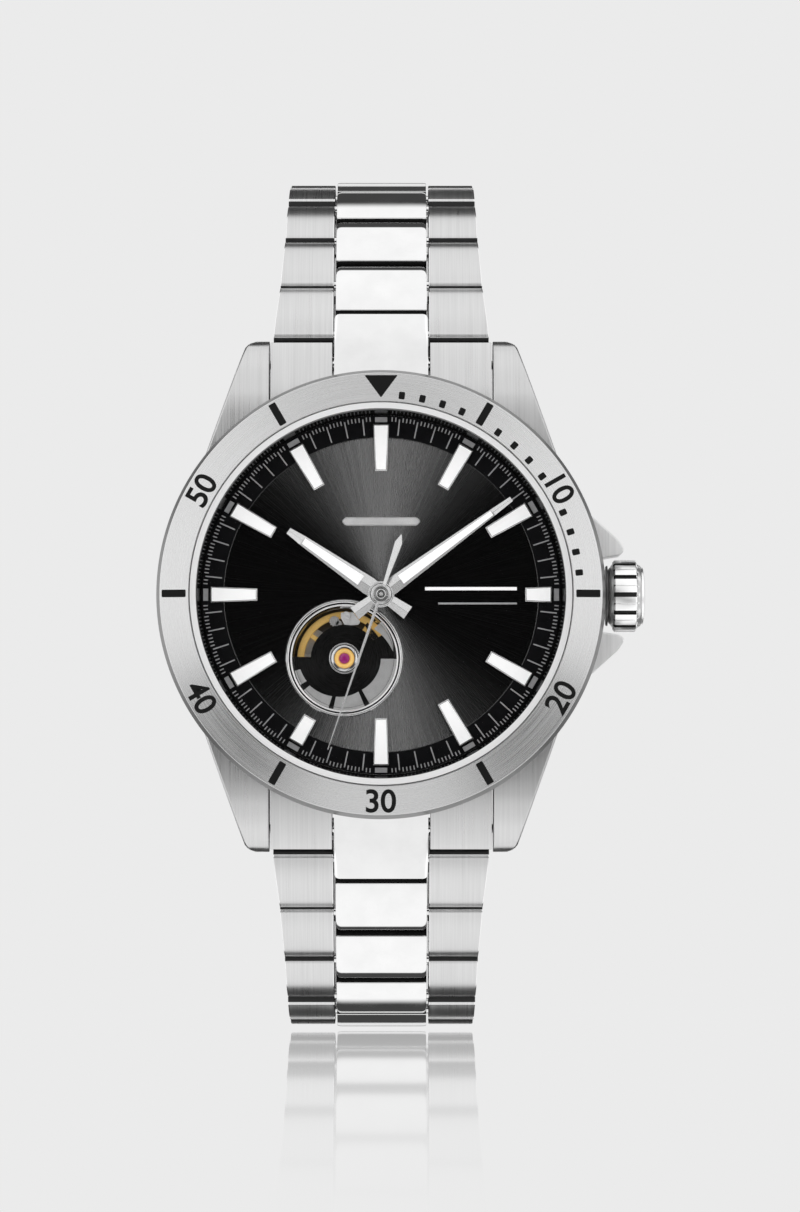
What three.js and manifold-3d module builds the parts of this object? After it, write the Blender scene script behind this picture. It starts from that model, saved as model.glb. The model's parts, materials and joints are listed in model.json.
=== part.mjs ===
// Automatic wristwatch on a three-row steel bracelet, closed by a folding clasp.
// Millimetres. +X is the crown side, +Z is twelve o'clock, -Y is where the dial faces.
// The origin is the centre of the case back's outer face.
import * as THREE from "three";
import { mergeVertices } from "three/addons/utils/BufferGeometryUtils.js";
import Module from "manifold-3d";

const wasm = await Module();
wasm.setup();

// ---------- driving dimensions ----------
const FINE = 36; // facets round the case
const MIDDLE = 24; // facets round the balance window and the barrel
const SMALL = 12; // facets round a small turned piece
const PIN_FACETS = 8;

const BEZEL_R = 22;
const CASE_R = 20.9;
const CASE_FRONT = -8; // the shelf that the bezel turns on
const CASE_REAR = -1.2;
const CRYSTAL_R = 18.5;
const CRYSTAL_FRONT = -12;
const CRYSTAL_REAR = -10.15;
const REHAUT_R = 17.65;
const DIAL_FRONT = -7.65;
const DIAL_THICK = 0.4;
const DIAL_R = 18.2;

const LUG_GAP = 22; // between the lugs
const LUG_TIP = 25.2;
const SPRING_BAR = { z: 22.9, y: -3.4, r: 0.75 };

const CROWN = { y: -4.7, r: 3.4, inner: 22.3, flutes: 12 };
const APERTURE = { x: -3.6, z: -6.22, r: 5.1 }; // window over the balance, towards seven o'clock
const atBalance = { x: APERTURE.x, z: APERTURE.z };

const PITCH = 6.2; // pin to pin along the bracelet
const HALF_THICK = 1.75; // half the thickness of a link
const TONGUE_R = 1.6;
const CENTRE_HALF = 4.5; // half the width of the centre row
const FIRST_PIN = { z: 25.8, y: -4 };
const LINK_TILTS = [32, 39, 53, 74, 100, 124, 142, 154, 162]; // degrees back from the dial's plane
const LINK_WIDTHS = [21.2, 20, 19.2, 18.8, 18.5, 18.3, 18.2, 18.1, 18, 18]; // at each seam
const PIN_R = 0.5;
const PIN_HOLE_R = 0.6;

const steel = new THREE.MeshStandardMaterial({ color: 0xc4c4c4, roughness: 0.32, metalness: 1 });
const polished = new THREE.MeshStandardMaterial({ color: 0xe2e2e2, roughness: 0.08, metalness: 1 });
const black = new THREE.MeshStandardMaterial({ color: 0x17181a, roughness: 0.4, metalness: 0.5 });
const lume = new THREE.MeshStandardMaterial({ color: 0xe9e9e7, roughness: 0.35, metalness: 0.6 });
const brass = new THREE.MeshStandardMaterial({ color: 0xd0a24c, roughness: 0.25, metalness: 1 });
const rubber = new THREE.MeshStandardMaterial({ color: 0x202020, roughness: 0.8, metalness: 0 });
const glass = new THREE.MeshStandardMaterial({
  color: 0xf2f6f8, roughness: 0.02, metalness: 0, transparent: true, opacity: 0.25,
});
const ruby = new THREE.MeshStandardMaterial({ color: 0xb0218a, roughness: 0.1, metalness: 0 });

// ---------- geometry to solid and back ----------
function solid(geometry) {
  const bare = geometry.index ? geometry.toNonIndexed() : geometry.clone();
  bare.deleteAttribute("normal");
  bare.deleteAttribute("uv");
  const merged = mergeVertices(bare, 1e-4);
  const triVerts = new Uint32Array(merged.index.array);
  const build = () => new wasm.Manifold(
    new wasm.Mesh({ numProp: 3, vertProperties: merged.attributes.position.array, triVerts }),
  );
  const made = build();
  if (made.volume() > 0) return made;
  for (let i = 0; i < triVerts.length; i += 3)
    [triVerts[i + 1], triVerts[i + 2]] = [triVerts[i + 2], triVerts[i + 1]];
  return build();
}

function mesh(name, shape, material) {
  const { numProp, numVert, vertProperties, triVerts } = shape.getMesh();
  const position = new Float32Array(numVert * 3);
  for (let i = 0; i < numVert; i++)
    position.set(vertProperties.subarray(i * numProp, i * numProp + 3), i * 3);
  const geometry = new THREE.BufferGeometry();
  geometry.setAttribute("position", new THREE.BufferAttribute(position, 3));
  geometry.setIndex(new THREE.BufferAttribute(new Uint32Array(triVerts), 1));
  geometry.computeVertexNormals();
  const made = new THREE.Mesh(geometry, material);
  made.name = name;
  return made;
}

// A profile of [radius, y] points turned about a line along Y through (x, z).
function turned(profile, { x = 0, z = 0, facets = FINE } = {}) {
  const points = profile.map(([r, y]) => new THREE.Vector2(r, y));
  const closed = profile[0][0] !== 0 || profile.at(-1)[0] !== 0;
  if (closed) points.push(points[0].clone());
  return solid(new THREE.LatheGeometry(points, facets).translate(x, 0, z));
}

// A rectangle of radii and depths turned into a plain ring, or a disc where inner is 0.
function ring(inner, outer, y0, y1, options) {
  const profile = inner
    ? [[inner, y0], [outer, y0], [outer, y1], [inner, y1]]
    : [[0, y0], [outer, y0], [outer, y1], [0, y1]];
  return turned(profile, options);
}

function extruded(shape, depth, steps = 8) {
  return new THREE.ExtrudeGeometry(shape, { depth, bevelEnabled: false, curveSegments: steps });
}

function polygon(points) {
  return new THREE.Shape(points.map(([a, b]) => new THREE.Vector2(a, b)));
}

// A shape drawn in (x, z) and run along Y.
function alongY(shape, y0, y1, steps) {
  const place = new THREE.Matrix4().set(1, 0, 0, 0, 0, 0, 1, y0, 0, 1, 0, 0, 0, 0, 0, 1);
  return solid(extruded(shape, y1 - y0, steps).applyMatrix4(place));
}

// A shape drawn in (z, y) and run along X.
function alongX(shape, x0, x1, steps) {
  const place = new THREE.Matrix4().set(0, 0, 1, x0, 0, 1, 0, 0, 1, 0, 0, 0, 0, 0, 0, 1);
  return solid(extruded(shape, x1 - x0, steps).applyMatrix4(place));
}

function rodX(r, x0, x1, y, z, facets = SMALL) {
  const rod = new THREE.CylinderGeometry(r, r, x1 - x0, facets).rotateZ(Math.PI / 2);
  return solid(rod.translate((x0 + x1) / 2, y, z));
}

const radians = THREE.MathUtils.degToRad;
const joined = (first, ...rest) => rest.reduce((sum, next) => sum.add(next), first);
const cutBy = (first, ...rest) => rest.reduce((left, next) => left.subtract(next), first);
const mirrored = (shape, normal) => joined(shape, shape.mirror(normal));

// A point at a radius and a clock angle in degrees, as [x, z].
const clock = (r, degrees, x = 0, z = 0) =>
  [x + r * Math.sin(radians(degrees)), z + r * Math.cos(radians(degrees))];

// A sector of a ring in (x, z) between two clock angles.
function sector(inner, outer, from, to, x = 0, z = 0, steps = 16) {
  const rim = (r, a, b) => Array.from({ length: steps + 1 },
    (_, i) => clock(r, a + ((b - a) * i) / steps, x, z));
  return polygon([...rim(outer, from, to), ...rim(inner, to, from)]);
}

// ---------- case ----------
function midCase() {
  const band = turned([
    [17.4, CASE_REAR], [19.4, CASE_REAR], [CASE_R - 0.3, -2.2], [CASE_R, -3.2], [CASE_R, -7.2],
    [CASE_R - 0.5, CASE_FRONT], [19.3, CASE_FRONT], [19.3, -10.4], [18.65, -10.4], [18.65, -9.9],
    [17.95, -9.9], [REHAUT_R, -7.95], [REHAUT_R, -7.7], [18.3, -7.7], [18.3, -3.1], [17.4, -3.1],
  ]);
  const lugPlan = polygon([[LUG_GAP / 2, 6], [19.9, 6], [17.1, 14.15], [13.3, 24.55],
    [12.9, 24.95], [11.25, LUG_TIP], [LUG_GAP / 2, LUG_TIP - 0.2]]);
  const lugSide = polygon([[5, -7.9], [18.5, -7.7], [23.2, -6.4], [24.9, -4.9], [LUG_TIP, -3.4],
    [24.9, -1.9], [23.6, -1], [19, CASE_REAR], [5, CASE_REAR]]);
  const lug = alongY(lugPlan, -8, 0).intersect(alongX(lugSide, 5, 20));
  const lugs = mirrored(mirrored(lug, [1, 0, 0]), [0, 0, 1]);
  const guardPlan = polygon([[17, 9.9], [20.2, 7.9], [23.45, 5.15], [23.85, 4.5], [23.7, 4],
    [21.4, 3.65], [17, 3.6]]);
  const guards = mirrored(alongY(guardPlan, -7.5, -2.1), [0, 0, 1]);
  const hollow = ring(0, 18.3, -9, -0.5);
  const around = joined(lugs, guards).subtract(hollow);
  const bar = rodX(0.6, -12, 12, SPRING_BAR.y, SPRING_BAR.z);
  const tubeHole = rodX(1.5, 17, 24, CROWN.y, 0);
  const crownSeat = rodX(2.6, CASE_R - 0.5, 24, CROWN.y, 0);
  return cutBy(joined(band, around), mirrored(bar, [0, 0, 1]), tubeHole, crownSeat);
}

function bezel() {
  return turned([
    [19.45, -8.35], [21.5, -8.35], [BEZEL_R, -8.8], [BEZEL_R, -10.25], [BEZEL_R - 0.28, -10.75],
    [19, -11.3], [18.78, -11.2], [18.78, -10.55], [19.45, -10.55],
  ]);
}

// The flat spring ring that lies under the bezel.
function clickSpring() {
  return ring(19.6, 20.3, -8.25, -8.05);
}

function crystal() {
  return turned([
    [0, CRYSTAL_REAR], [CRYSTAL_R, CRYSTAL_REAR], [CRYSTAL_R, CRYSTAL_FRONT + 0.5],
    [CRYSTAL_R - 0.55, CRYSTAL_FRONT], [0, CRYSTAL_FRONT],
  ]);
}

function caseBack() {
  const body = turned([
    [14.2, 0], [16.4, 0], [17.2, -0.4], [17.2, -2.9], [16.2, -2.9], [16.2, -1.3], [13.4, -1.3],
    [13.4, -0.95], [14.2, -0.95],
  ]);
  const notch = alongY(polygon([[15, -0.7], [17, -0.7], [17, 0.7], [15, 0.7]]), -0.3, 1);
  const notches = Array.from({ length: 6 }, (_, i) => notch.rotate([0, 60 * i + 30, 0]));
  return cutBy(body, ...notches);
}

// ---------- dial ----------
function dial() {
  const plate = ring(0, DIAL_R, DIAL_FRONT, DIAL_FRONT + DIAL_THICK);
  const centre = ring(0, 1.3, -9, -6, { facets: SMALL });
  const window = ring(0, APERTURE.r + 0.15, -9, -6, { ...atBalance, facets: MIDDLE });
  return cutBy(plate, centre, window);
}

// The raised minute track with the hour markers riveted to it.
function chapterRing() {
  const track = ring(15.5, REHAUT_R - 0.08, -7.9, DIAL_FRONT - 0.02);
  const markers = Array.from({ length: 12 }, (_, hour) => {
    const inner = hour === 3 || hour === 7 ? 14 : 12;
    const plan = polygon([[-0.6, inner], [0.6, inner], [0.8, 16.7], [-0.8, 16.7]]);
    return alongY(plan, -8.6, DIAL_FRONT - 0.02).rotate([0, 30 * hour, 0]);
  });
  return joined(track, ...markers);
}

function apertureRing() {
  return turned([
    [APERTURE.r - 0.1, -7.3], [APERTURE.r, -7.3], [APERTURE.r + 0.05, -7.67], [5.85, -7.67],
    [5.7, -7.95], [5.45, -8], [5.3, -7.85], [APERTURE.r, -7.9], [APERTURE.r - 0.1, -7.8],
  ], { ...atBalance, facets: MIDDLE });
}

// A hand pointing to twelve: a tapered blade, a short tail and a hub tube.
function hand({ tip, half, tail, tailHalf, y0, y1, hub, bore, tube }) {
  const tipHalf = half * 0.45;
  const tailEndHalf = tailHalf * 1.25;
  const plan = polygon([[-tipHalf, tip], [tipHalf, tip], [half, 1.5], [tailHalf, -1],
    [tailEndHalf, -tail], [-tailEndHalf, -tail], [-tailHalf, -1], [-half, 1.5]]);
  const blade = alongY(plan, y0, y1);
  const boss = ring(0, hub, y0, y1, { facets: SMALL });
  const shaft = ring(0, bore + 0.16, y1 - 0.05, tube, { facets: SMALL });
  return joined(blade, boss, shaft).subtract(ring(0, bore, y0 - 1, tube + 1, { facets: SMALL }));
}

const hourHand = () => hand({
  tip: 11, half: 0.85, tail: 3.2, tailHalf: 0.55,
  y0: -8.95, y1: -8.7, hub: 1.3, bore: 0.75, tube: -7.2,
});
const minuteHand = () => hand({
  tip: 15.8, half: 0.8, tail: 3.2, tailHalf: 0.55,
  y0: -9.4, y1: -9.15, hub: 1.15, bore: 0.4, tube: -7.2,
});

function secondsHand() {
  const needle = polygon([[-0.06, 16.1], [0.06, 16.1], [0.16, 0], [0.42, -5.2], [0, -6.2],
    [-0.42, -5.2], [-0.16, 0]]);
  const hub = ring(0, 0.85, -9.9, -9.6, { facets: SMALL });
  const post = ring(0, 0.3, -9.65, -7.2, { facets: SMALL });
  return joined(alongY(needle, -9.85, -9.65), hub, post);
}

// ---------- movement ----------
function mainPlate() {
  const plate = ring(0, 13, -7.1, -5.6);
  const pocket = alongY(sector(3.35, 4.95, -88, 60, APERTURE.x, APERTURE.z), -8, -5);
  const staff = ring(0, 0.45, -8, -5, { ...atBalance, facets: SMALL });
  return cutBy(plate, pocket, staff, ring(0, 1.3, -8, -5, { facets: SMALL }));
}

const jewelSetting = () => turned([
  [0, -7.3], [0.55, -7.3], [0.75, -7.42], [1.2, -7.42], [1.5, -7.3], [1.5, -7.13], [0, -7.13],
], { ...atBalance, facets: SMALL });

function balanceWheel() {
  const rim = ring(3.95, 4.6, -5.2, -4.7, { ...atBalance, facets: MIDDLE });
  const hub = ring(0, 0.8, -5.2, -4.7, { ...atBalance, facets: SMALL });
  const arm = polygon([[-4.2, -0.22], [4.2, -0.22], [4.2, 0.22], [-4.2, 0.22]]);
  const arms = alongY(arm, -5.1, -4.8).rotate([0, 35, 0]).translate(APERTURE.x, 0, APERTURE.z);
  return joined(rim, hub, arms).subtract(ring(0, 0.26, -6, -4, { ...atBalance, facets: SMALL }));
}

const balanceStaff = () => turned([
  [0, -6.9], [0.16, -6.9], [0.16, -5.9], [0.22, -5.9],
  [0.22, -3.85], [0.14, -3.85], [0.14, -3.4], [0, -3.4],
], { ...atBalance, facets: SMALL });

// A flat spiral spring of three turns, its outer end held in the stud of the cock.
function hairspring() {
  const turns = 3;
  const steps = turns * 14;
  const radius = (t) => 0.45 + 2 * t;
  const side = (grow) => Array.from({ length: steps + 1 },
    (_, i) => clock(radius(i / steps) + grow, (360 * turns * i) / steps, APERTURE.x, APERTURE.z));
  return alongY(polygon([...side(0.05), ...side(-0.05).reverse()]), -4.5, -4.3);
}

function balanceCock() {
  const bar = polygon([[-1.1, -1.1], [1.1, -1.1], [1.6, 5.6], [-1.6, 5.6]]);
  const beam = alongY(bar, -3.8, -3.3).rotate([0, 200, 0]).translate(APERTURE.x, 0, APERTURE.z);
  const hole = ring(0, 0.24, -5, -3, { ...atBalance, facets: SMALL });
  return beam.subtract(hole);
}

const ESCAPE = { angle: 50, distance: 6, r: 1.6, teeth: 20 };
const PALLET_DISTANCE = 3.1;
const atEscape = clock(ESCAPE.distance, ESCAPE.angle, APERTURE.x, APERTURE.z);
const atPallet = clock(PALLET_DISTANCE, ESCAPE.angle, APERTURE.x, APERTURE.z);

function escapeWheel() {
  const [x, z] = atEscape;
  const rim = Array.from({ length: ESCAPE.teeth }, (_, i) => {
    const step = 360 / ESCAPE.teeth;
    return [clock(ESCAPE.r, i * step, x, z), clock(ESCAPE.r - 0.3, (i + 0.35) * step, x, z)];
  }).flat();
  const hub = ring(0, 0.3, -5.55, -3.7, { x, z, facets: SMALL });
  return joined(alongY(polygon(rim), -5.45, -5.3), hub);
}

// The lever points at the balance staff, and its two arms straddle the escape wheel.
function palletFork() {
  const plan = polygon([[-0.12, 0.3], [-1.25, 0.55], [-1.3, 0.95], [-0.95, 0.9], [0, 0.75],
    [0.95, 0.9], [1.3, 0.95], [1.25, 0.55], [0.12, 0.3], [0.15, -2.2], [-0.15, -2.2]]);
  const lever = alongY(plan, -5.45, -5.3);
  const pivot = ring(0, 0.22, -5.55, -5.25, { facets: SMALL });
  const [x, z] = atPallet;
  return joined(lever, pivot).rotate([0, ESCAPE.angle, 0]).translate(x, 0, z);
}

const barrel = () => turned([
  [0, -5.4], [4.9, -5.4], [4.9, -5], [5.2, -5], [5.2, -4.7], [4.9, -4.7], [4.9, -3.9], [0, -3.9],
], { x: 2.2, z: 7, facets: MIDDLE });

function trainBridge() {
  const plate = ring(0, 12.8, -3.2, -2.7);
  const reach = ring(0, 5.4, -4, -2, { ...atBalance, facets: MIDDLE });
  const post = ring(0, 1, -4, -2, { facets: SMALL });
  return cutBy(plate, reach, post);
}

function movementRing() {
  const spacer = ring(13.1, 18.1, -7.15, -3.3);
  return spacer.subtract(rodX(1, 10, 20, CROWN.y, 0));
}

function rotor() {
  const web = alongY(sector(0, 11.2, 95, 265), -2.3, -1.95);
  const weight = alongY(sector(10.6, 12.4, 95, 265), -2.4, -1.5);
  const boss = ring(0, 2.6, -2.3, -1.95, { facets: SMALL });
  return joined(web, weight, boss).subtract(ring(0, 1.45, -3, -1, { facets: SMALL }));
}

const rotorBearing = () => turned([
  [0, -3.6], [0.85, -3.6], [0.85, -2.45], [1.35, -2.45], [1.35, -1.85], [0.9, -1.7], [0, -1.7],
], { facets: SMALL });

// ---------- crown ----------
function crown() {
  const body = turned([
    [0, 0], [2.4, 0], [CROWN.r, 0.75], [CROWN.r, 2.75], [CROWN.r - 0.45, 3.15],
    [2.2, 3.4], [0, 3.45],
  ], { facets: MIDDLE });
  const cutter = new THREE.CylinderGeometry(0.24, 0.24, 2.6, 6);
  const groove = solid(cutter.translate(CROWN.r + 0.05, 1.6, 0));
  const grooves = Array.from({ length: CROWN.flutes },
    (_, i) => groove.rotate([0, (360 * i) / CROWN.flutes, 0]));
  return cutBy(body, ...grooves).rotate([0, 0, -90]).translate(CROWN.inner, CROWN.y, 0);
}

const stem = () => rodX(0.55, 12.2, CROWN.inner - 0.05, CROWN.y, 0);

function crownTube() {
  return rodX(1.4, 18.4, 21.6, CROWN.y, 0).subtract(rodX(0.75, 18, 23, CROWN.y, 0));
}

// ---------- bracelet ----------
const SEAM_BACK = 1; // the seam between outer rows lies this far before its pin
const SEAM_GAP = 0.3;
const ROW_GAP = 0.25; // between a centre row and the outer rows beside it
const WRIST_RELIEF = 0.7; // how far an outer row's ends are cut back on the wrist side

// A full-thickness bar in (z, y), cut back at both ends towards the wrist.
function relievedBar(start, end) {
  const kneeY = 0.3;
  return polygon([[start, -HALF_THICK], [end, -HALF_THICK], [end, kneeY],
    [end - WRIST_RELIEF, HALF_THICK], [start + WRIST_RELIEF, HALF_THICK], [start, kneeY]]);
}

function plainBar(start, end) {
  return polygon([[start, -HALF_THICK], [end, -HALF_THICK], [end, HALF_THICK], [start, HALF_THICK]]);
}

// A bar that ends in a knuckle round the next pin.
function tongueSide(start, pin) {
  const shape = new THREE.Shape();
  shape.moveTo(start, -TONGUE_R);
  shape.lineTo(pin, -TONGUE_R);
  shape.absarc(pin, 0, TONGUE_R, -Math.PI / 2, Math.PI / 2, false);
  shape.lineTo(start, TONGUE_R);
  return shape;
}

// One bracelet link: two outer rows, and a centre row that reaches forward to the next pin.
function link(index) {
  const [near, far] = [LINK_WIDTHS[index] / 2, LINK_WIDTHS[index + 1] / 2];
  const start = -SEAM_BACK;
  const end = PITCH - SEAM_BACK - SEAM_GAP;
  const flank = alongX(relievedBar(start, end), CENTRE_HALF + ROW_GAP, 12);
  const plan = polygon([[0, start - 1], [near, start], [far, end], [far, end + 1], [0, end + 1]]);
  const outer = flank.intersect(alongY(plan, -3, 3));
  const bridge = CENTRE_HALF + 0.4; // far enough to meet both outer rows
  const body = alongX(plainBar(TONGUE_R + 0.7, PITCH - 1.7), -bridge, bridge);
  const tongue = alongX(tongueSide(TONGUE_R + 1, PITCH), -CENTRE_HALF, CENTRE_HALF, 4);
  const pin = rodX(PIN_R, -near + 1, near - 1, 0, 0, PIN_FACETS);
  const hole = rodX(PIN_HOLE_R, -CENTRE_HALF - 1, CENTRE_HALF + 1, 0, PITCH, PIN_FACETS);
  return joined(mirrored(outer, [1, 0, 0]), body, tongue, pin).subtract(hole);
}

function endLink() {
  const side = polygon([[15, -7.5], [21.5, -7.2], [23.6, -6.55], [FIRST_PIN.z - 1.35, -5.95],
    [FIRST_PIN.z - 1.35, -4], [FIRST_PIN.z - 2.1, -1.9], [19.5, -1.7], [15, -1.7]]);
  const block = alongX(side, -LUG_GAP / 2 + 0.15, LUG_GAP / 2 - 0.15);
  const knuckle = endTongue();
  const bore = rodX(0.95, -12, 12, SPRING_BAR.y, SPRING_BAR.z);
  const clearOfCase = ring(0, CASE_R + 0.15, -9, 0);
  const hole = rodX(PIN_HOLE_R, -CENTRE_HALF - 1, CENTRE_HALF + 1, FIRST_PIN.y, FIRST_PIN.z, PIN_FACETS);
  return cutBy(joined(block, knuckle), bore, clearOfCase, hole);
}

// The end link's centre row, which reaches past its outer rows to the first pin.
function endTongue() {
  const shape = tongueSide(-4, 0);
  return alongX(shape, -CENTRE_HALF, CENTRE_HALF, 4)
    .rotate([-15, 0, 0]).translate(0, FIRST_PIN.y, FIRST_PIN.z);
}

function springBar() {
  const { y, z, r } = SPRING_BAR;
  return joined(rodX(r, -10.7, 10.7, y, z), rodX(0.45, -11.8, 11.8, y, z, PIN_FACETS));
}

// Pin positions along one half of the bracelet, from the case to the clasp.
function pins() {
  const found = [{ ...FIRST_PIN }];
  for (const tilt of LINK_TILTS) {
    const { z, y } = found.at(-1);
    found.push({ z: z + PITCH * Math.cos(radians(tilt)), y: y + PITCH * Math.sin(radians(tilt)) });
  }
  return found;
}

function bracelet(word) {
  const half = new THREE.Group();
  const at = pins();
  LINK_TILTS.forEach((tilt, index) => {
    const piece = mesh(`${word}_link_${index + 1}`, link(index), steel);
    piece.position.set(0, at[index].y, at[index].z);
    piece.rotation.x = -radians(tilt);
    half.add(piece);
  });
  half.add(mesh(`end_link_${word}`, endLink(), steel));
  half.add(mesh(`spring_bar_${word}`, springBar(), polished));
  return half;
}

// ---------- clasp ----------
const LAST_PIN = pins().at(-1);
const CLASP_TILT = 15; // slope of the clasp's arc at its two ends, in degrees
const CLASP_R = LAST_PIN.z / Math.sin(radians(CLASP_TILT));
const CLASP_Y = LAST_PIN.y - CLASP_R * Math.cos(radians(CLASP_TILT)); // where the arcs are centred

// The y of an arc that lies r outside the line through the clasp's two end pins.
const onArc = (z, r) => CLASP_Y + Math.sqrt((CLASP_R + r) ** 2 - z ** 2);

// A curved strip in (z, y) between two heights, at a distance outside the pin line.
function strip(inner, outer, from, to, steps = 14) {
  const rim = (r, a, b) => Array.from({ length: steps + 1 }, (_, i) => {
    const z = a + ((b - a) * i) / steps;
    return [z, onArc(z, r)];
  });
  return polygon([...rim(outer, from, to), ...rim(inner, to, from)]);
}

const COVER = { half: 10.1, inner: 1.8, outer: 2.7, skirt: -1.3, wall: 0.8 };
const COVER_REACH = LAST_PIN.z + 0.9;
const COVER_HINGE = { z: -15, r: 0.2 };
const BLADE_HINGE = { z: 15.4, r: -0.45 };
const OUTER_BLADE_HALF = 6.8;
const INNER_BLADE_HALF = 3.9;
const HOOK_REACH = 5.6; // half the width over the foot's two hooks
const BUTTON = { half: 2.9, inner: 7.7, outer: 10.7 };

function claspCover() {
  const { half, inner, outer, skirt, wall } = COVER;
  const plate = alongX(strip(inner, outer, -COVER_REACH, COVER_REACH), -half, half);
  const flankReach = COVER_REACH - 0.6;
  const flank = alongX(strip(skirt, inner + 0.1, -flankReach, flankReach), half - wall, half);
  const endHole = rodX(PIN_HOLE_R, -12, 12, LAST_PIN.y, LAST_PIN.z, PIN_FACETS);
  const footHole = rodX(1.1, -12, 12, LAST_PIN.y - 1, -LAST_PIN.z - 0.6, PIN_FACETS);
  const hinge = rodX(PIN_HOLE_R, -12, 12, onArc(COVER_HINGE.z, COVER_HINGE.r), COVER_HINGE.z, PIN_FACETS);
  const buttonHole = alongX(strip(-0.75, 0.75, -BUTTON.half - 0.2, BUTTON.half + 0.2, 4), -12, 12);
  return cutBy(joined(plate, mirrored(flank, [1, 0, 0])), endHole, footHole, hinge, buttonHole);
}

function button(side) {
  const pad = alongX(strip(-0.55, 0.55, -BUTTON.half, BUTTON.half, 4), BUTTON.inner, BUTTON.outer);
  return side > 0 ? pad : pad.mirror([1, 0, 0]);
}

// The blade next to the cover. Both of its hinge pins are riveted into it.
function outerBlade() {
  const cover = [onArc(COVER_HINGE.z, COVER_HINGE.r), COVER_HINGE.z];
  const fold = [onArc(BLADE_HINGE.z, BLADE_HINGE.r), BLADE_HINGE.z];
  const half = OUTER_BLADE_HALF;
  const blade = alongX(strip(0.4, 1.2, COVER_HINGE.z, BLADE_HINGE.z), -half, half);
  const ears = joined(rodX(0.95, -half, half, ...cover), rodX(0.95, -half, half, ...fold));
  const between = INNER_BLADE_HALF + 0.2;
  const gapAt = (z) => alongX(strip(-2, 2, z - 1.5, z + 1.5, 3), -between, between);
  const leaf = cutBy(joined(blade, ears), gapAt(COVER_HINGE.z), gapAt(BLADE_HINGE.z));
  const coverPin = rodX(PIN_R, -COVER.half, COVER.half, ...cover, PIN_FACETS);
  return joined(leaf, coverPin, rodX(PIN_R, -half, half, ...fold, PIN_FACETS));
}

// The blade next to the wrist. Its foot is a pair of hooks that cradle the lower half's last pin.
function innerBlade() {
  const fold = [onArc(BLADE_HINGE.z, BLADE_HINGE.r), BLADE_HINGE.z];
  const half = INNER_BLADE_HALF;
  const pin = -LAST_PIN.z;
  const blade = alongX(strip(-1.3, -0.5, pin + 3.2, BLADE_HINGE.z), -half, half);
  const knuckle = rodX(0.85, -half, half, ...fold);
  const foot = alongX(strip(-2.1, -0.5, pin + 2.2, pin + 3.4, 3), -HOOK_REACH, HOOK_REACH);
  const hookStart = CENTRE_HALF + ROW_GAP;
  const rest = alongX(strip(-1.9, -PIN_HOLE_R, pin - 0.8, pin + 3, 4), hookStart, HOOK_REACH);
  const stop = alongX(strip(-1.9, 0.8, pin + PIN_HOLE_R, pin + 3, 3), hookStart, HOOK_REACH);
  const hooks = mirrored(joined(rest, stop), [1, 0, 0]);
  return joined(blade, knuckle, foot, hooks).subtract(rodX(PIN_HOLE_R, -half, half, ...fold, PIN_FACETS));
}

// ---------- assembly ----------
const watch = new THREE.Group();
const add = (...made) => watch.add(mesh(...made));

add("mid_case", midCase(), steel);
add("bezel", bezel(), steel);
add("bezel_click_spring", clickSpring(), steel);
add("crystal", crystal(), glass);
add("crystal_gasket", ring(18, 18.6, -10.1, -9.95), rubber);
add("case_back", caseBack(), steel);
add("case_back_window", ring(0, 14.1, -0.9, 0), glass);
add("case_back_gasket", ring(17.45, 18.2, -3.25, -3.13), rubber);

add("dial", dial(), black);
add("chapter_ring", chapterRing(), lume);
add("aperture_ring", apertureRing(), polished);

add("movement_ring", movementRing(), black);
add("main_plate", mainPlate(), black);
add("jewel_setting", jewelSetting(), ruby);
add("balance_wheel", balanceWheel(), brass);
add("balance_staff", balanceStaff(), steel);
add("hairspring", hairspring(), steel);
add("balance_cock", balanceCock(), polished);
add("escape_wheel", escapeWheel(), brass);
add("pallet_fork", palletFork(), polished);
add("mainspring_barrel", barrel(), brass);
add("train_bridge", trainBridge(), steel);
add("rotor", rotor(), steel);
add("rotor_bearing", rotorBearing(), polished);

add("crown", crown(), polished);
add("winding_stem", stem(), steel);
add("crown_tube", crownTube(), steel);

const HOUR_ANGLE = 304.5;
const MINUTE_ANGLE = 53.8;
const SECONDS_ANGLE = 198.9;
for (const [name, shape, angle] of [
  ["hour_hand", hourHand(), HOUR_ANGLE],
  ["minute_hand", minuteHand(), MINUTE_ANGLE],
  ["seconds_hand", secondsHand(), SECONDS_ANGLE],
]) {
  const made = mesh(name, shape, polished);
  made.rotation.y = radians(angle);
  watch.add(made);
}

watch.add(bracelet("upper"));
const lower = bracelet("lower");
lower.rotation.y = Math.PI;
watch.add(lower);

add("clasp_cover", claspCover(), steel);
add("clasp_outer_blade", outerBlade(), polished);
add("clasp_inner_blade", innerBlade(), polished);
add("clasp_button_right", button(1), polished);
add("clasp_button_left", button(-1), polished);
const claspPin = (half, z) => rodX(PIN_R, -half, half, LAST_PIN.y, z, PIN_FACETS);
add("clasp_spring_bar", claspPin(COVER.half - 0.1, LAST_PIN.z), steel);
add("clasp_foot_pin", claspPin(HOOK_REACH - 0.1, -LAST_PIN.z), steel);

export default watch;
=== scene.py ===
"""An automatic wristwatch on a steel link bracelet: its finished surfaces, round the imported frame.

Lengths are in millimetres until a mesh is made. +X is the crown side, +Z is twelve o'clock,
and -Y is where the dial faces. A clock angle is in degrees, clockwise from twelve.
"""

import json
from math import acos, asin, cos, degrees, radians, sin, sqrt

import bmesh
import bpy
from mathutils import Matrix, Vector


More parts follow.
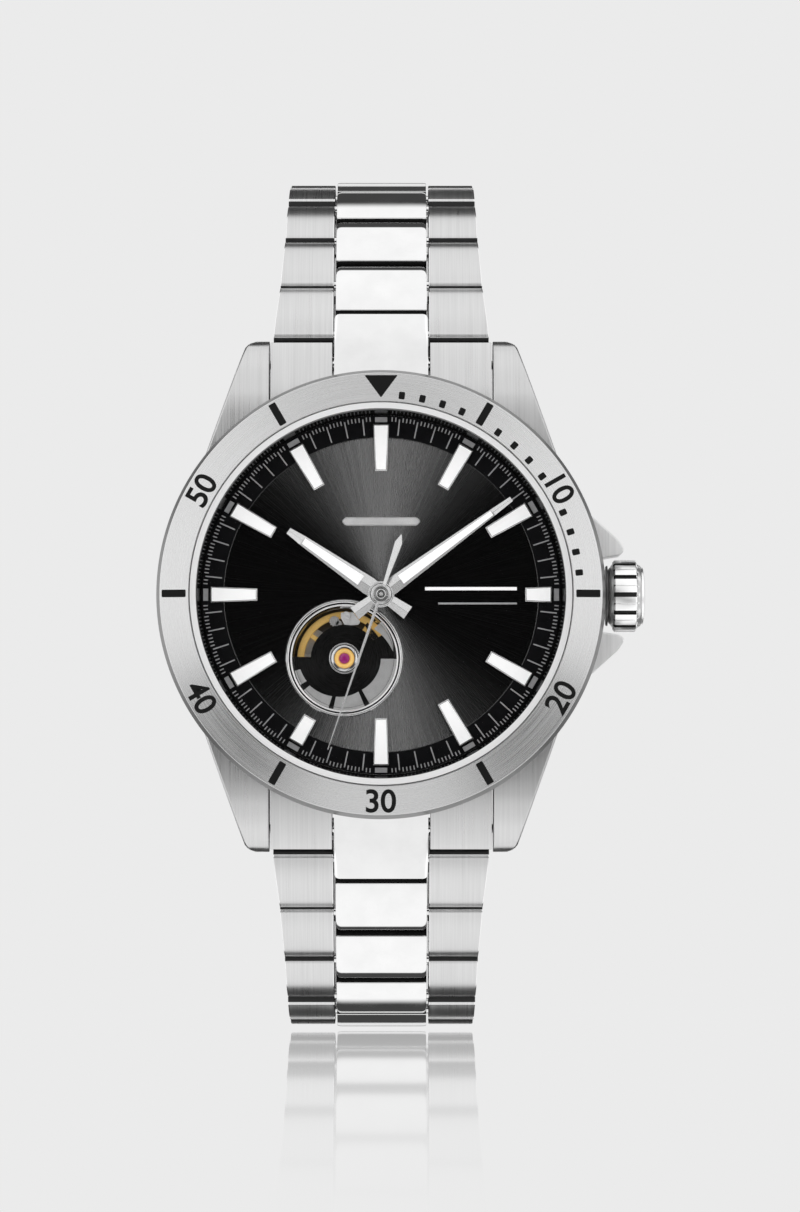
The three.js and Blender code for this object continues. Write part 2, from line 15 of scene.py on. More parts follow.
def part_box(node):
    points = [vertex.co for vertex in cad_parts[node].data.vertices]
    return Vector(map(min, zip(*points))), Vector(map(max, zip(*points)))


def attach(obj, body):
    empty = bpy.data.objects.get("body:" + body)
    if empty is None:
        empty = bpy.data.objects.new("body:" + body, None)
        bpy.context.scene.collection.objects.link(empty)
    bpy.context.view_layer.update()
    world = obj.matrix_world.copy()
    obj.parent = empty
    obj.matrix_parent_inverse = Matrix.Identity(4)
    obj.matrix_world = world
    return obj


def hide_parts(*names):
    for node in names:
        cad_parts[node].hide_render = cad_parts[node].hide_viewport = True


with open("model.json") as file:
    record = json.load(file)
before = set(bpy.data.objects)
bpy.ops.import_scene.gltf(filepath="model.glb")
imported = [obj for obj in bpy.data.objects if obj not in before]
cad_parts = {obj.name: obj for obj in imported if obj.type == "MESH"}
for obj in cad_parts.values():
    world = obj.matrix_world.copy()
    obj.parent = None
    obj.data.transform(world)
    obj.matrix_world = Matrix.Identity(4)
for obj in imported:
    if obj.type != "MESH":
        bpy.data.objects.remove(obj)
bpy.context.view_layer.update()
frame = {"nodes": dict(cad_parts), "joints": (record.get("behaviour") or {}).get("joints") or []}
MM = 1000.0
NODES = frame["nodes"]
JOINTS = {joint["name"]: joint for joint in frame["joints"]}


def low_high(node):
    """A CAD node's lowest and highest corners, in millimetres."""
    low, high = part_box(node)
    return low * MM, high * MM


def joint_at(name):
    return Vector(JOINTS[name]["pos_m"]) * MM


# ---------- places and sizes ----------
BEZEL_R = low_high("bezel")[1].x
BEZEL_BACK = low_high("bezel")[1].y
BEZEL_TOP = low_high("bezel")[0].y
CRYSTAL_R = low_high("crystal")[1].x
CRYSTAL_TOP, CRYSTAL_BACK = low_high("crystal")[0].y, low_high("crystal")[1].y
DIAL_R = low_high("dial")[1].x
DIAL_TOP = low_high("dial")[0].y
TRACK_TOP = DIAL_TOP - 0.25
TRACK_INNER, TRACK_OUTER = 15.45, 17.6
BALANCE = joint_at("balance_swing")
ESCAPE = joint_at("escape_wheel_turn")
WINDOW_R = 5.15
POCKET_R = 4.84
PITCH = (joint_at("upper_pin_2") - joint_at("upper_pin_1")).length
LINKS = 9
HALF_THICK = 1.75
CENTRE_HALF = 4.5


def clock(r, angle, x=0.0, z=0.0):
    """The (x, z) of a radius and a clock angle."""
    return x + r * sin(radians(angle)), z + r * cos(radians(angle))


def arc(r, start, stop, steps):
    return [clock(r, start + (stop - start) * i / steps) for i in range(steps + 1)]


# ---------- meshes ----------
def rounded(points, radius, steps=3, closed=True):
    """A 2-D outline with its corners rounded. A point may carry its own radius as a third number."""
    count = len(points)
    made = []
    for i, point in enumerate(points):
        here = Vector(point[:2])
        r = point[2] if len(point) > 2 else radius
        if r == 0 or (not closed and i in (0, count - 1)):
            made.append(tuple(here))
            continue
        back = Vector(points[i - 1][:2]) - here
        on = Vector(points[(i + 1) % count][:2]) - here
        reach = min(r, 0.48 * back.length, 0.48 * on.length)
        back, on = back.normalized() * reach, on.normalized() * reach
        for step in range(steps + 1):
            t = step / steps
            made.append(tuple(here + back * (1 - t) ** 2 + on * t * t))
    return made


def softened(bm, width, segments=2, sharp=25, slot=-1):
    """Bevels every edge that turns by more than sharp degrees. slot is the bevels' material index."""
    bmesh.ops.remove_doubles(bm, verts=bm.verts, dist=1e-4)
    bmesh.ops.recalc_face_normals(bm, faces=bm.faces)
    if width:
        edges = [e for e in bm.edges if e.is_manifold and e.calc_face_angle() > radians(sharp)]
        bmesh.ops.bevel(bm, geom=edges, offset=width, segments=segments, profile=0.6,
                        affect="EDGES", clamp_overlap=True, material=slot)
    return bm


def piece(name, bm, material, body, place=None, replaces=(), sharp=35):
    """Turns a millimetre mesh into a finished piece that rides on a body."""
    if place is not None:
        bmesh.ops.transform(bm, matrix=place, verts=bm.verts)
    bmesh.ops.scale(bm, vec=(1 / MM,) * 3, verts=bm.verts)
    mesh = bpy.data.meshes.new(name)
    bmesh.ops.recalc_face_normals(bm, faces=bm.faces)
    bm.to_mesh(mesh)
    bm.free()
    mesh.shade_smooth()
    mesh.set_sharp_from_angle(angle=radians(sharp))
    made = bpy.data.objects.new(name, mesh)
    bpy.context.scene.collection.objects.link(made)
    normals = made.modifiers.new("normals", "WEIGHTED_NORMAL")
    normals.keep_sharp = True
    made.data.materials.append(material)
    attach(made, body)
    if replaces:
        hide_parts(*replaces)
    return made


def add_prism(bm, outline, low, high, plane):
    """A closed outline run from low to high. In "front" it is (x, z) along Y; in "side" (z, y) along X."""
    def corner(a, b, depth):
        return (a, depth, b) if plane == "front" else (depth, b, a)
    rings = [[bm.verts.new(corner(a, b, depth)) for a, b in outline] for depth in (low, high)]
    bm.faces.new(rings[0])
    bm.faces.new(rings[1])
    for i in range(len(outline)):
        j = (i + 1) % len(outline)
        bm.faces.new((rings[0][i], rings[0][j], rings[1][j], rings[1][i]))


def swung(corners, angle):
    """Corners (x, z) turned by a clock angle about the frame's Y axis."""
    turn = Matrix.Rotation(radians(angle), 3, "Y")
    points = [turn @ Vector((x, 0, z)) for x, z in corners]
    return [(point.x, point.z) for point in points]


def prism(outline, low, high, plane="front", bevel=0.0, segments=2):
    bm = bmesh.new()
    add_prism(bm, outline, low, high, plane)
    return softened(bm, bevel, segments)


def loft(sections, bevel=0.0, segments=2, sharp=25, slot=-1):
    """Joins equal rings of points into one closed skin."""
    bm = bmesh.new()
    rings = [[bm.verts.new(p) for p in section] for section in sections]
    bm.faces.new(rings[0])
    bm.faces.new(rings[-1])
    count = len(rings[0])
    for first, second in zip(rings, rings[1:]):
        for i in range(count):
            j = (i + 1) % count
            bm.faces.new((first[i], first[j], second[j], second[i]))
    return softened(bm, bevel, segments, sharp, slot)


def add_turned(bm, profile, x=0.0, z=0.0, steps=160, shape=None):
    """Turns a profile of (radius, y) about a line along Y. A profile off the axis closes on itself."""
    def at(r, y, angle):
        if shape:
            r = shape(r, y, angle)
        return (*clock(r, angle, x, z), y)
    rings = []
    for r, y in profile:
        if r < 1e-6:
            rings.append([bm.verts.new((x, y, z))])
            continue
        ring = []
        for i in range(steps):
            px, pz, py = at(r, y, 360 * i / steps)
            ring.append(bm.verts.new((px, py, pz)))
        rings.append(ring)
    on_axis = profile[0][0] < 1e-6
    pairs = list(zip(rings, rings[1:])) + ([] if on_axis else [(rings[-1], rings[0])])
    for first, second in pairs:
        for i in range(steps):
            j = (i + 1) % steps
            corners = [first[i % len(first)], first[j % len(first)],
                       second[j % len(second)], second[i % len(second)]]
            unique = list(dict.fromkeys(corners))
            if len(unique) > 2:
                bm.faces.new(unique)


def turned(profile, x=0.0, z=0.0, steps=160, shape=None):
    bm = bmesh.new()
    add_turned(bm, profile, x, z, steps, shape)
    bmesh.ops.recalc_face_normals(bm, faces=bm.faces)
    return bm


def along_x(origin):
    """Places a piece that was turned about Y so that its axis is +X from origin."""
    return Matrix.Translation(origin) @ Matrix.Rotation(radians(-90), 4, "Z")


# Swaps X and Y, for pieces that were turned about Y and lie along X.
ACROSS = Matrix(((0, 1, 0, 0), (1, 0, 0, 0), (0, 0, 1, 0), (0, 0, 0, 1)))
SIDES = (("right", 1), ("left", -1))
ENDS = (("upper", 1), ("lower", -1))


def disc(r, low, high, x=0.0, z=0.0, edge=0.05, steps=48):
    return turned([(0, low)] + rounded([(0, low), (r, low), (r, high), (0, high)], edge, 2, False)[1:-1]
                  + [(0, high)], x, z, steps)


def cut(target, cutter_bm):
    """Cuts a millimetre mesh out of a finished piece."""
    bmesh.ops.scale(cutter_bm, vec=(1 / MM,) * 3, verts=cutter_bm.verts)
    bmesh.ops.recalc_face_normals(cutter_bm, faces=cutter_bm.faces)
    mesh = bpy.data.meshes.new("cutter")
    cutter_bm.to_mesh(mesh)
    cutter_bm.free()
    cutter = bpy.data.objects.new("cutter", mesh)
    bpy.context.scene.collection.objects.link(cutter)
    boolean = target.modifiers.new("cut", "BOOLEAN")
    boolean.object = cutter
    boolean.operation = "DIFFERENCE"
    boolean.solver = "EXACT"
    target.modifiers.move(len(target.modifiers) - 1, 0)
    normals = target.modifiers["normals"]
    normals.show_viewport = False
    bpy.context.view_layer.update()
    evaluated = target.evaluated_get(bpy.context.evaluated_depsgraph_get())
    result = bpy.data.meshes.new_from_object(evaluated)
    target.modifiers.remove(boolean)
    normals.show_viewport = True
    target.data = result
    bpy.data.objects.remove(cutter)


# ---------- materials ----------
class Graph:
    """A node tree under construction, with short calls for the nodes it needs."""

    def __init__(self, tree):
        self.tree = tree

    def add(self, kind, **settings):
        node = self.tree.nodes.new(kind)
        for key, value in settings.items():
            setattr(node, key, value)
        return node

    def link(self, source, target):
        self.tree.links.new(source, target)

    def math(self, operation, a, b=0.0):
        node = self.add("ShaderNodeMath", operation=operation)
        for socket, value in zip(node.inputs, (a, b)):
            if isinstance(value, (int, float)):
                socket.default_value = value
            else:
                self.link(value, socket)
        return node.outputs[0]

    def vector(self, operation, a, b=None):
        node = self.add("ShaderNodeVectorMath", operation=operation)
        for socket, value in zip(node.inputs, (a, b)):
            if isinstance(value, tuple):
                socket.default_value = value
            elif value is not None:
                self.link(value, socket)
        return node

    def map_range(self, value, start, stop, low, high, kind):
        node = self.add("ShaderNodeMapRange", interpolation_type=kind)
        for name, number in (("From Min", start), ("From Max", stop), ("To Min", low), ("To Max", high)):
            node.inputs[name].default_value = number
        self.link(value, node.inputs["Value"])
        return node.outputs["Result"]

    def fade(self, value, start, stop, low, high):
        """Low up to start and high beyond stop, with a smooth change between them."""
        return self.map_range(value, start, stop, low, high, "SMOOTHSTEP")


class Nodes(Graph):
    """A material's node tree."""

    def __init__(self, name):
        self.material = bpy.data.materials.new(name)
        self.material.use_nodes = True
        super().__init__(self.material.node_tree)
        self.shader = self.tree.nodes["Principled BSDF"]
        self.here = self.add("ShaderNodeTexCoord").outputs["Object"]

    def set(self, **values):
        for key, value in values.items():
            self.shader.inputs[key.replace("_", " ")].default_value = value

    def stretched(self, scale):
        """Object coordinates scaled along each axis."""
        node = self.add("ShaderNodeMapping")
        node.inputs["Scale"].default_value = scale
        self.link(self.here, node.inputs["Vector"])
        return node.outputs[0]

    def noise(self, vector, scale=1.0, detail=3.0):
        node = self.add("ShaderNodeTexNoise")
        node.inputs["Scale"].default_value = scale
        node.inputs["Detail"].default_value = detail
        self.link(vector, node.inputs["Vector"])
        return node.outputs["Fac"]

    def span(self, value, low, high, start=0.3, stop=0.7):
        return self.map_range(value, start, stop, low, high, "LINEAR")

    def ramp(self, value, stops):
        node = self.add("ShaderNodeValToRGB")
        ramp = node.color_ramp
        for index, (place, colour) in enumerate(stops):
            stop = ramp.elements[index] if index < 2 else ramp.elements.new(place)
            stop.position = place
            stop.color = (*colour, 1.0)
        self.link(value, node.inputs["Fac"])
        return node.outputs["Color"]

    def bump(self, height, strength, distance):
        node = self.add("ShaderNodeBump")
        node.inputs["Strength"].default_value = strength
        node.inputs["Distance"].default_value = distance / MM
        self.link(height, node.inputs["Height"])
        self.link(node.outputs["Normal"], self.shader.inputs["Normal"])

    def tangent(self, axis=None, direction=None):
        """The way highlights stretch: round an axis, or along one fixed direction."""
        if axis:
            node = self.add("ShaderNodeTangent", direction_type="RADIAL", axis=axis)
            self.link(node.outputs[0], self.shader.inputs["Tangent"])
            return
        node = self.add("ShaderNodeCombineXYZ")
        for socket, value in zip(node.inputs, direction):
            socket.default_value = value
        self.link(node.outputs[0], self.shader.inputs["Tangent"])

    def polar(self, centre=(0.0, 0.0)):
        """Radius about a line along Y in millimetres, and a unit direction away from it."""
        shift = self.vector("SUBTRACT", self.here, (centre[0] / MM, 0, centre[1] / MM)).outputs[0]
        flat = self.vector("MULTIPLY", shift, (MM, 0, MM)).outputs[0]
        return self.vector("LENGTH", flat).outputs["Value"], self.vector("NORMALIZE", flat).outputs[0]


def grey(value):
    return (value, value, value)


def brushed(name, scale, tangent, base=0.62, rough=0.3, anisotropic=0.7):
    """Straight-brushed steel. scale stretches the grain: large numbers run across the lines."""
    m = Nodes(name)
    grain = m.noise(m.stretched(scale), detail=4)
    broad = m.noise(m.stretched((180, 180, 180)), detail=2)
    m.link(m.ramp(grain, [(0.25, grey(base * 0.92)), (0.75, grey(base * 1.07))]),
           m.shader.inputs["Base Color"])
    rough_low = m.span(grain, rough - 0.03, rough + 0.04)
    m.link(m.math("ADD", rough_low, m.span(broad, -0.02, 0.03)), m.shader.inputs["Roughness"])
    m.set(Metallic=1.0, Anisotropic=anisotropic)
    m.tangent(direction=tangent)
    m.bump(grain, 0.12, 0.006)
    return m.material


def polished(name, base=0.82, rough=0.05, tint=(1, 1, 1), glow=0.0):
    """Mirror-polished metal with faint smears and hairline marks. glow adds an emission in the tint: painted
    light.
    """
    m = Nodes(name)
    smear = m.noise(m.stretched((420, 420, 420)), detail=5)
    hair = m.noise(m.stretched((2600, 260, 260)), detail=2)
    low, high = [tuple(base * k * c for c in tint) for k in (0.97, 1.03)]
    m.link(m.ramp(smear, [(0.3, low), (0.7, high)]), m.shader.inputs["Base Color"])
    m.link(m.span(smear, rough - 0.015, rough + 0.035), m.shader.inputs["Roughness"])
    m.set(Metallic=1.0, Emission_Color=(*tint, 1), Emission_Strength=glow)
    m.bump(hair, 0.04, 0.004)
    return m.material


def circular(name, base, rough, anisotropic, centre=(0.0, 0.0), pitch=14.0, strength=0.3):
    """Metal grained in circles about a line along Y."""
    m = Nodes(name)
    radius, unit = m.polar(centre)
    lines = m.vector("SCALE", unit)
    lines.inputs["Scale"].default_value = 2.2
    along = m.add("ShaderNodeCombineXYZ")
    m.link(m.math("MULTIPLY", radius, pitch), along.inputs["Y"])
    grain = m.noise(m.vector("ADD", lines.outputs[0], along.outputs[0]).outputs[0], detail=3)
    m.link(m.ramp(grain, [(0.25, grey(base * 0.86)), (0.75, grey(base * 1.12))]),
           m.shader.inputs["Base Color"])
    m.link(m.span(grain, rough - 0.05, rough + 0.07), m.shader.inputs["Roughness"])
    m.set(Metallic=1.0, Anisotropic=anisotropic, Anisotropic_Rotation=0.25)
    m.tangent(axis="Y")
    m.bump(grain, strength, 0.01)
    return m.material


def sunray(name, base, rough):
    """A lacquered dial brushed from its centre outwards. Two soft painted highlights brighten its base colour
    in fans towards twelve and six.
    """
    m = Nodes(name)
    _, unit = m.polar()
    fine = m.noise(unit, scale=150, detail=2)
    split = m.add("ShaderNodeSeparateXYZ")
    m.link(unit, split.inputs[0])
    # Painted highlight: the base colour grows brighter towards twelve and six.
    painted_fan = m.span(m.math("POWER", m.math("ABSOLUTE", split.outputs["Z"]), 7.0), 0.03, 1.3, 0.0, 1.0)
    shade = m.vector("SCALE", m.ramp(fine, [(0.3, grey(base * 0.92)), (0.7, grey(base * 1.08))]))
    m.link(painted_fan, shade.inputs["Scale"])
    m.link(shade.outputs[0], m.shader.inputs["Base Color"])
    m.link(m.span(fine, rough - 0.02, rough + 0.03), m.shader.inputs["Roughness"])
    m.set(Metallic=1.0, Anisotropic=0.9)
    m.tangent(axis="Y")
    m.bump(fine, 0.04, 0.006)
    return m.material


def paint(name, colour, rough, metallic=0.0, grain=900, coat=0.0, shine=0.5):
    """Lacquer or moulded material with a fine surface texture."""
    m = Nodes(name)
    speck = m.noise(m.stretched((grain,) * 3), detail=4)
    low, high = [tuple(c * k for c in colour) for k in (0.9, 1.08)]
    m.link(m.ramp(speck, [(0.3, low), (0.7, high)]), m.shader.inputs["Base Color"])
    m.link(m.span(speck, rough - 0.05, rough + 0.05), m.shader.inputs["Roughness"])
    m.set(Metallic=metallic, Coat_Weight=coat, Specular_IOR_Level=shine)
    m.bump(speck, 0.1, 0.01)
    return m.material


def glowing(name, value, glow):
    """Luminous paint: a fine-grained white with a small emission, which is painted light making it brighter
    than the lamps alone would.
    """
    m = Nodes(name)
    speck = m.noise(m.stretched((3500,) * 3), detail=4)
    m.link(m.ramp(speck, [(0.3, grey(value * 0.93)), (0.7, grey(value))]), m.shader.inputs["Base Color"])
    m.link(m.span(speck, 0.45, 0.55), m.shader.inputs["Roughness"])
    m.set(Emission_Color=(*grey(value), 1), Emission_Strength=glow)
    m.bump(speck, 0.15, 0.01)
    return m.material


def clear(name, alpha, tint=0.9, rough=0.02):
    """Sapphire crystal: mostly see-through, with a clean reflection."""
    m = Nodes(name)
    smear = m.noise(m.stretched((160,) * 3), detail=4)
    m.link(m.span(smear, rough, rough + 0.02), m.shader.inputs["Roughness"])
    m.set(Base_Color=(*grey(tint), 1), Alpha=alpha, IOR=1.6)
    return m.material


def striped(name, base):
    """Broad parallel stripes, as cut into a movement's bridges."""
    m = Nodes(name)
    split = m.add("ShaderNodeSeparateXYZ")
    m.link(m.here, split.inputs[0])
    slant = m.math("ADD", m.math("MULTIPLY", split.outputs["X"], 0.6), split.outputs["Z"])
    saw = m.math("FRACT", m.math("MULTIPLY", slant, MM / 1.9))
    grain = m.noise(m.stretched((900, 900, 260)), detail=4)
    both = m.math("ADD", saw, m.math("MULTIPLY", grain, 0.5))
    m.link(m.ramp(both, [(0.2, grey(base * 0.75)), (1.0, grey(base * 1.15))]), m.shader.inputs["Base Color"])
    m.link(m.span(grain, 0.2, 0.34), m.shader.inputs["Roughness"])
    m.set(Metallic=1.0, Anisotropic=0.5)
    m.tangent(direction=(1, 0, 0))
    m.bump(saw, 0.3, 0.03)
    return m.material


BRUSHED_LINK = brushed("steel_brushed_lengthwise", (6500, 90, 90), (1, 0, 0), base=0.66)
BRUSHED_LUG = brushed("steel_brushed_lugs", (6500, 90, 90), (1, 0, 0), base=0.64, rough=0.3)
BRUSHED_GUARD = brushed("steel_brushed_guards", (6500, 90, 90), (1, 0, 0), base=0.9, rough=0.4)
BRUSHED_CASE = brushed("steel_brushed_case_sides", (60, 2400, 60), (0, 1, 0), base=0.6, rough=0.3)
POLISHED = polished("steel_polished")
BEZEL_STEEL = circular("steel_brushed_bezel", 0.72, 0.27, 0.75, pitch=26)
# The bezel's outer wall: steel like the brushed top but with a much darker base colour, which is painted
# shade.
BEZEL_SIDE = circular("steel_bezel_side", 0.3, 0.38, 0.4, pitch=12)
SPUN_STEEL = circular("steel_spun", 0.6, 0.28, 0.7, pitch=18)
DIAL_BLACK = sunray("dial_sunray_black", 0.26, 0.26)
TRACK_BLACK = paint("minute_track_black", (0.004, 0.004, 0.005), 0.5, grain=2200, shine=0.06)
ENGRAVED = paint("engraved_black", (0.006, 0.006, 0.006), 0.5, grain=3000, shine=0.12)
PRINT_GREY = paint("print_grey", (0.5, 0.5, 0.51), 0.45, grain=2500)
# The lume's emission is painted light: it glows to look brighter, not as a lamp.
LUME = glowing("lume_white", 0.95, 0.48)
REHAUT = circular("rehaut_dark", 0.1, 0.2, 0.3)
SAPPHIRE = clear("sapphire", 0.08, tint=0.01)
# The crystal's bevel is a mostly opaque near-white: a painted highlight standing in for the bright reflection
# along its edge.
SAPPHIRE_EDGE = clear("sapphire_bevel", 0.75, tint=0.95, rough=0.1)
SNAILED = circular("plate_snailed_black", 0.022, 0.28, 0.85, (BALANCE.x, BALANCE.z), 30, strength=0.5)
PLATE_GREY = brushed("plate_satin", (1500, 60, 1500), (1, 0, 0), base=0.62, rough=0.5, anisotropic=0.2)
# The gilt's emission is painted light, which keeps it bright in the dark balance window.
GILT = polished("gilt", 1.0, 0.5, (1.0, 0.66, 0.22), glow=0.25)
RUBY = paint("ruby", (0.42, 0.01, 0.22), 0.12, grain=700, coat=0.6)
RUBBER = paint("gasket_rubber", (0.02, 0.02, 0.02), 0.7)
SATIN = paint("satin_metal", (0.82, 0.82, 0.82), 0.5, metallic=0.6)
PLATE_DARK = circular("plate_dark", 0.12, 0.35, 0.5, (BALANCE.x, BALANCE.z), 20)
POLISHED_SOFT = polished("steel_hands", 0.8, 0.2)
CROWN_STEEL = polished("steel_crown", 0.95, 0.3)
SPUN_X = brushed("steel_turned_along_x", (2200, 60, 60), (0, 1, 0), base=0.3, rough=0.36)
STRIPED = striped("steel_striped", 0.6)
POLISHED_LINK = polished("steel_polished_links", 0.86, 0.045)
# Near-black steel for faces inside the bracelet's gaps and at the bottoms of the crown's grooves: painted
# shade, far darker than the steel there is.
PAINTED_SHADE = paint("steel_painted_shade_inside", (0.03, 0.03, 0.03), 0.5, metallic=0.6, grain=1500, shine=0.1)
BLADE_STEEL = brushed("steel_blades", (1800, 50, 50), (1, 0, 0), base=0.68, rough=0.2, anisotropic=0.5)


# ---------- camera, light and floor ----------
SENSOR = 36.0
CAMERA_REACH = 500.0
CAMERA_RISE = 2.2     # degrees that the camera looks up by
VIEW_HEIGHT = 117.9   # what the picture spans at the aim
AIM = Vector((1.85, BEZEL_TOP, -1.24))
BACKDROP = 0.8308


def make_camera():
    data = bpy.data.cameras.new("camera")
    data.sensor_fit = "VERTICAL"
    data.sensor_height = SENSOR
    data.lens = SENSOR * CAMERA_REACH / VIEW_HEIGHT
    data.clip_end = 10.0
    camera = bpy.data.objects.new("camera", data)
    forward = Vector((0, cos(radians(CAMERA_RISE)), sin(radians(CAMERA_RISE))))
    camera.location = (AIM - forward * CAMERA_REACH) / MM
    camera.rotation_euler = (radians(90 + CAMERA_RISE), 0, 0)
    bpy.context.scene.collection.objects.link(camera)
    bpy.context.scene.camera = camera


class World(Graph):
    """The studio's light, as a brightness for every direction."""

    def __init__(self):
        world = bpy.data.worlds.new("studio")
        bpy.context.scene.world = world
        world.use_nodes = True
        super().__init__(world.node_tree)
        self.tree.nodes.clear()

    def patch(self, x, z, at, size, soft):
        """1 inside an ellipse of directions, falling to 0 over a soft edge."""
        across = self.math("POWER", self.math("DIVIDE", self.math("SUBTRACT", x, at[0]), size[0]), 2)
        up = self.math("POWER", self.math("DIVIDE", self.math("SUBTRACT", z, at[1]), size[1]), 2)
        return self.fade(self.math("ADD", across, up), 1 - soft, 1 + soft, 1.0, 0.0)

    def background(self, strength):
        node = self.add("ShaderNodeBackground")
        node.inputs["Color"].default_value = (1, 1, 1, 1)
        if isinstance(strength, float):
            node.inputs["Strength"].default_value = strength
        else:
            self.link(strength, node.inputs["Strength"])
        return node.outputs[0]


TENT = {"opening": (0.17, 0.3), "base": 0.95, "top": 1.08, "sides": 0.3, "back": 0.06, "dark": 0.012,
        "shoulder": 0.9, "flank": 0.6}


def make_world():
    """A white tent, darker round the camera, on its shoulders and on the crown side, and an even backdrop."""
    w = World()
    split = w.add("ShaderNodeSeparateXYZ")
    w.link(w.add("ShaderNodeTexCoord").outputs["Generated"], split.inputs[0])
    x, y, z = split.outputs
    side = w.math("ABSOLUTE", x)
    height = w.math("ABSOLUTE", z)
    front = w.fade(w.math("MULTIPLY", y, -1), 0.1, 0.6, 0.0, 1.0)
    opening = w.math("MULTIPLY", w.patch(side, z, (0, 0.08), TENT["opening"], 0.4), front)
    shoulder = w.math("MULTIPLY", shoulders(w, side, z), front)
    bright = w.fade(height, 0.55, 0.92, TENT["base"], TENT["top"])
    bright = w.math("ADD", bright, w.math("MULTIPLY", w.fade(side, 0.25, 0.45, 0.0, TENT["sides"]), front))
    flank = w.math("MULTIPLY", w.patch(y, z, (0, 0), (0.26, 0.5), 0.7), w.fade(x, 0.75, 0.92, 0.0, 1.0))
    for region, amount in ((opening, 1 - TENT["dark"]), (shoulder, TENT["shoulder"]), (flank, TENT["flank"])):
        bright = w.math("MULTIPLY", bright, w.math("SUBTRACT", 1.0, w.math("MULTIPLY", region, amount)))
    behind = w.fade(y, 0.26, 0.38, 0.0, 1.0)
    band = w.patch(height, x, (0.42, 0), (0.09, 0.5), 0.35)
    back = w.math("ADD", w.fade(height, 0.16, 0.24, BACKDROP, TENT["back"]), w.math("MULTIPLY", band, 0.8))
    bright = w.math("ADD", w.math("MULTIPLY", bright, w.math("SUBTRACT", 1.0, behind)),
                    w.math("MULTIPLY", back, behind))
    mix = w.add("ShaderNodeMixShader")
    w.link(w.add("ShaderNodeLightPath").outputs["Is Camera Ray"], mix.inputs["Fac"])
    w.link(w.background(bright), mix.inputs[1])
    w.link(w.background(BACKDROP), mix.inputs[2])
    w.link(mix.outputs[0], w.add("ShaderNodeOutputWorld").inputs["Surface"])


def shoulders(w, side, z):
    """1 in two sectors of directions, low on each side of the camera."""
    lift = w.math("SUBTRACT", z, 0.05)
    slant = sqrt(0.5)
    along = w.math("MULTIPLY", w.math("SUBTRACT", side, lift), slant)
    across = w.math("ABSOLUTE", w.math("MULTIPLY", w.math("ADD", side, lift), slant))
    ratio = w.math("DIVIDE", across, w.math("MAXIMUM", along, 0.02))
    inside = w.fade(ratio, 0.15, 0.52, 1.0, 0.0)
    near = w.fade(along, 0.05, 0.15, 0.0, 1.0)
    far = w.fade(along, 0.5, 0.8, 1.0, 0.0)
    return w.math("MULTIPLY", inside, w.math("MULTIPLY", near, far))


def make_floor():
    """A pale floor, glossy under the watch only, whose mirror image fades towards the camera."""
    lowest = min(low_high(f"lower_link_{i + 1}")[0].z for i in range(LINKS))
    mesh = bpy.data.meshes.new("floor")
    half = 3000.0
    corners = [(-half, -half), (half, -half), (half, half), (-half, half)]
    mesh.from_pydata([Vector((x, y, lowest - 0.15)) / MM for x, y in corners], [], [(0, 1, 2, 3)])
    floor = bpy.data.objects.new("floor", mesh)
    bpy.context.scene.collection.objects.link(floor)
    m = Nodes("floor_gloss")
    tree = m.tree
    tree.nodes.remove(m.shader)
    split = m.add("ShaderNodeSeparateXYZ")
    m.link(m.here, split.inputs[0])
    nearer = m.fade(split.outputs["Y"], -0.24, 0.06, 0.0, 0.62)
    further = m.fade(split.outputs["Y"], 0.05, 0.16, 1.0, 0.0)
    aside = m.fade(m.math("ABSOLUTE", split.outputs["X"]), 0.04, 0.12, 1.0, 0.0)
    pale = m.add("ShaderNodeEmission")
    pale.inputs["Color"].default_value = (*grey(BACKDROP), 1)
    gloss = m.add("ShaderNodeBsdfGlossy")
    gloss.inputs["Color"].default_value = (1, 1, 1, 1)
    gloss.inputs["Roughness"].default_value = 0.04
    mix = m.add("ShaderNodeMixShader")
    m.link(m.math("MULTIPLY", nearer, m.math("MULTIPLY", further, aside)), mix.inputs["Fac"])
    m.link(pale.outputs[0], mix.inputs[1])
    m.link(gloss.outputs[0], mix.inputs[2])
    m.link(mix.outputs[0], tree.nodes["Material Output"].inputs["Surface"])
    mesh.materials.append(m.material)
    floor.visible_glossy = False
    floor.visible_diffuse = False
    floor.visible_shadow = False


# ---------- bezel ----------
BEZEL_EDGE = (BEZEL_R - 0.4, BEZEL_TOP + 0.62)  # outer edge of the brushed cone
BEZEL_INNER = (18.74, BEZEL_TOP + 0.04)
CONE = asin((BEZEL_EDGE[1] - BEZEL_INNER[1]) / (BEZEL_EDGE[0] - BEZEL_INNER[0]))
MARK_PROUD = 0.02
MARK_R = 20.2
NUMERAL_SIZE = 3.3
NUMERAL_HEIGHT = 2.33
NUMERAL_DEPTH = 0.05


def bezel_place(r, angle, turn=0.0):
    """Maps (across, height, outwards) onto the bezel's cone at a radius and clock angle."""
    y = BEZEL_INNER[1] + (BEZEL_EDGE[1] - BEZEL_INNER[1]) * (r - BEZEL_INNER[0]) / (
        BEZEL_EDGE[0] - BEZEL_INNER[0])
    return (Matrix.Rotation(radians(angle), 4, "Y") @ Matrix.Translation((0, y, r))
            @ Matrix.Rotation(-CONE, 4, "X") @ Matrix.Rotation(radians(turn), 4, "Y"))


def bezel_mark(name, r, angle, outline, corner=0.12):
    bm = prism(rounded(outline, corner, 3), -MARK_PROUD, 0.1, bevel=0.015, segments=1)
    piece(name, bm, ENGRAVED, "bezel", bezel_place(r, angle))


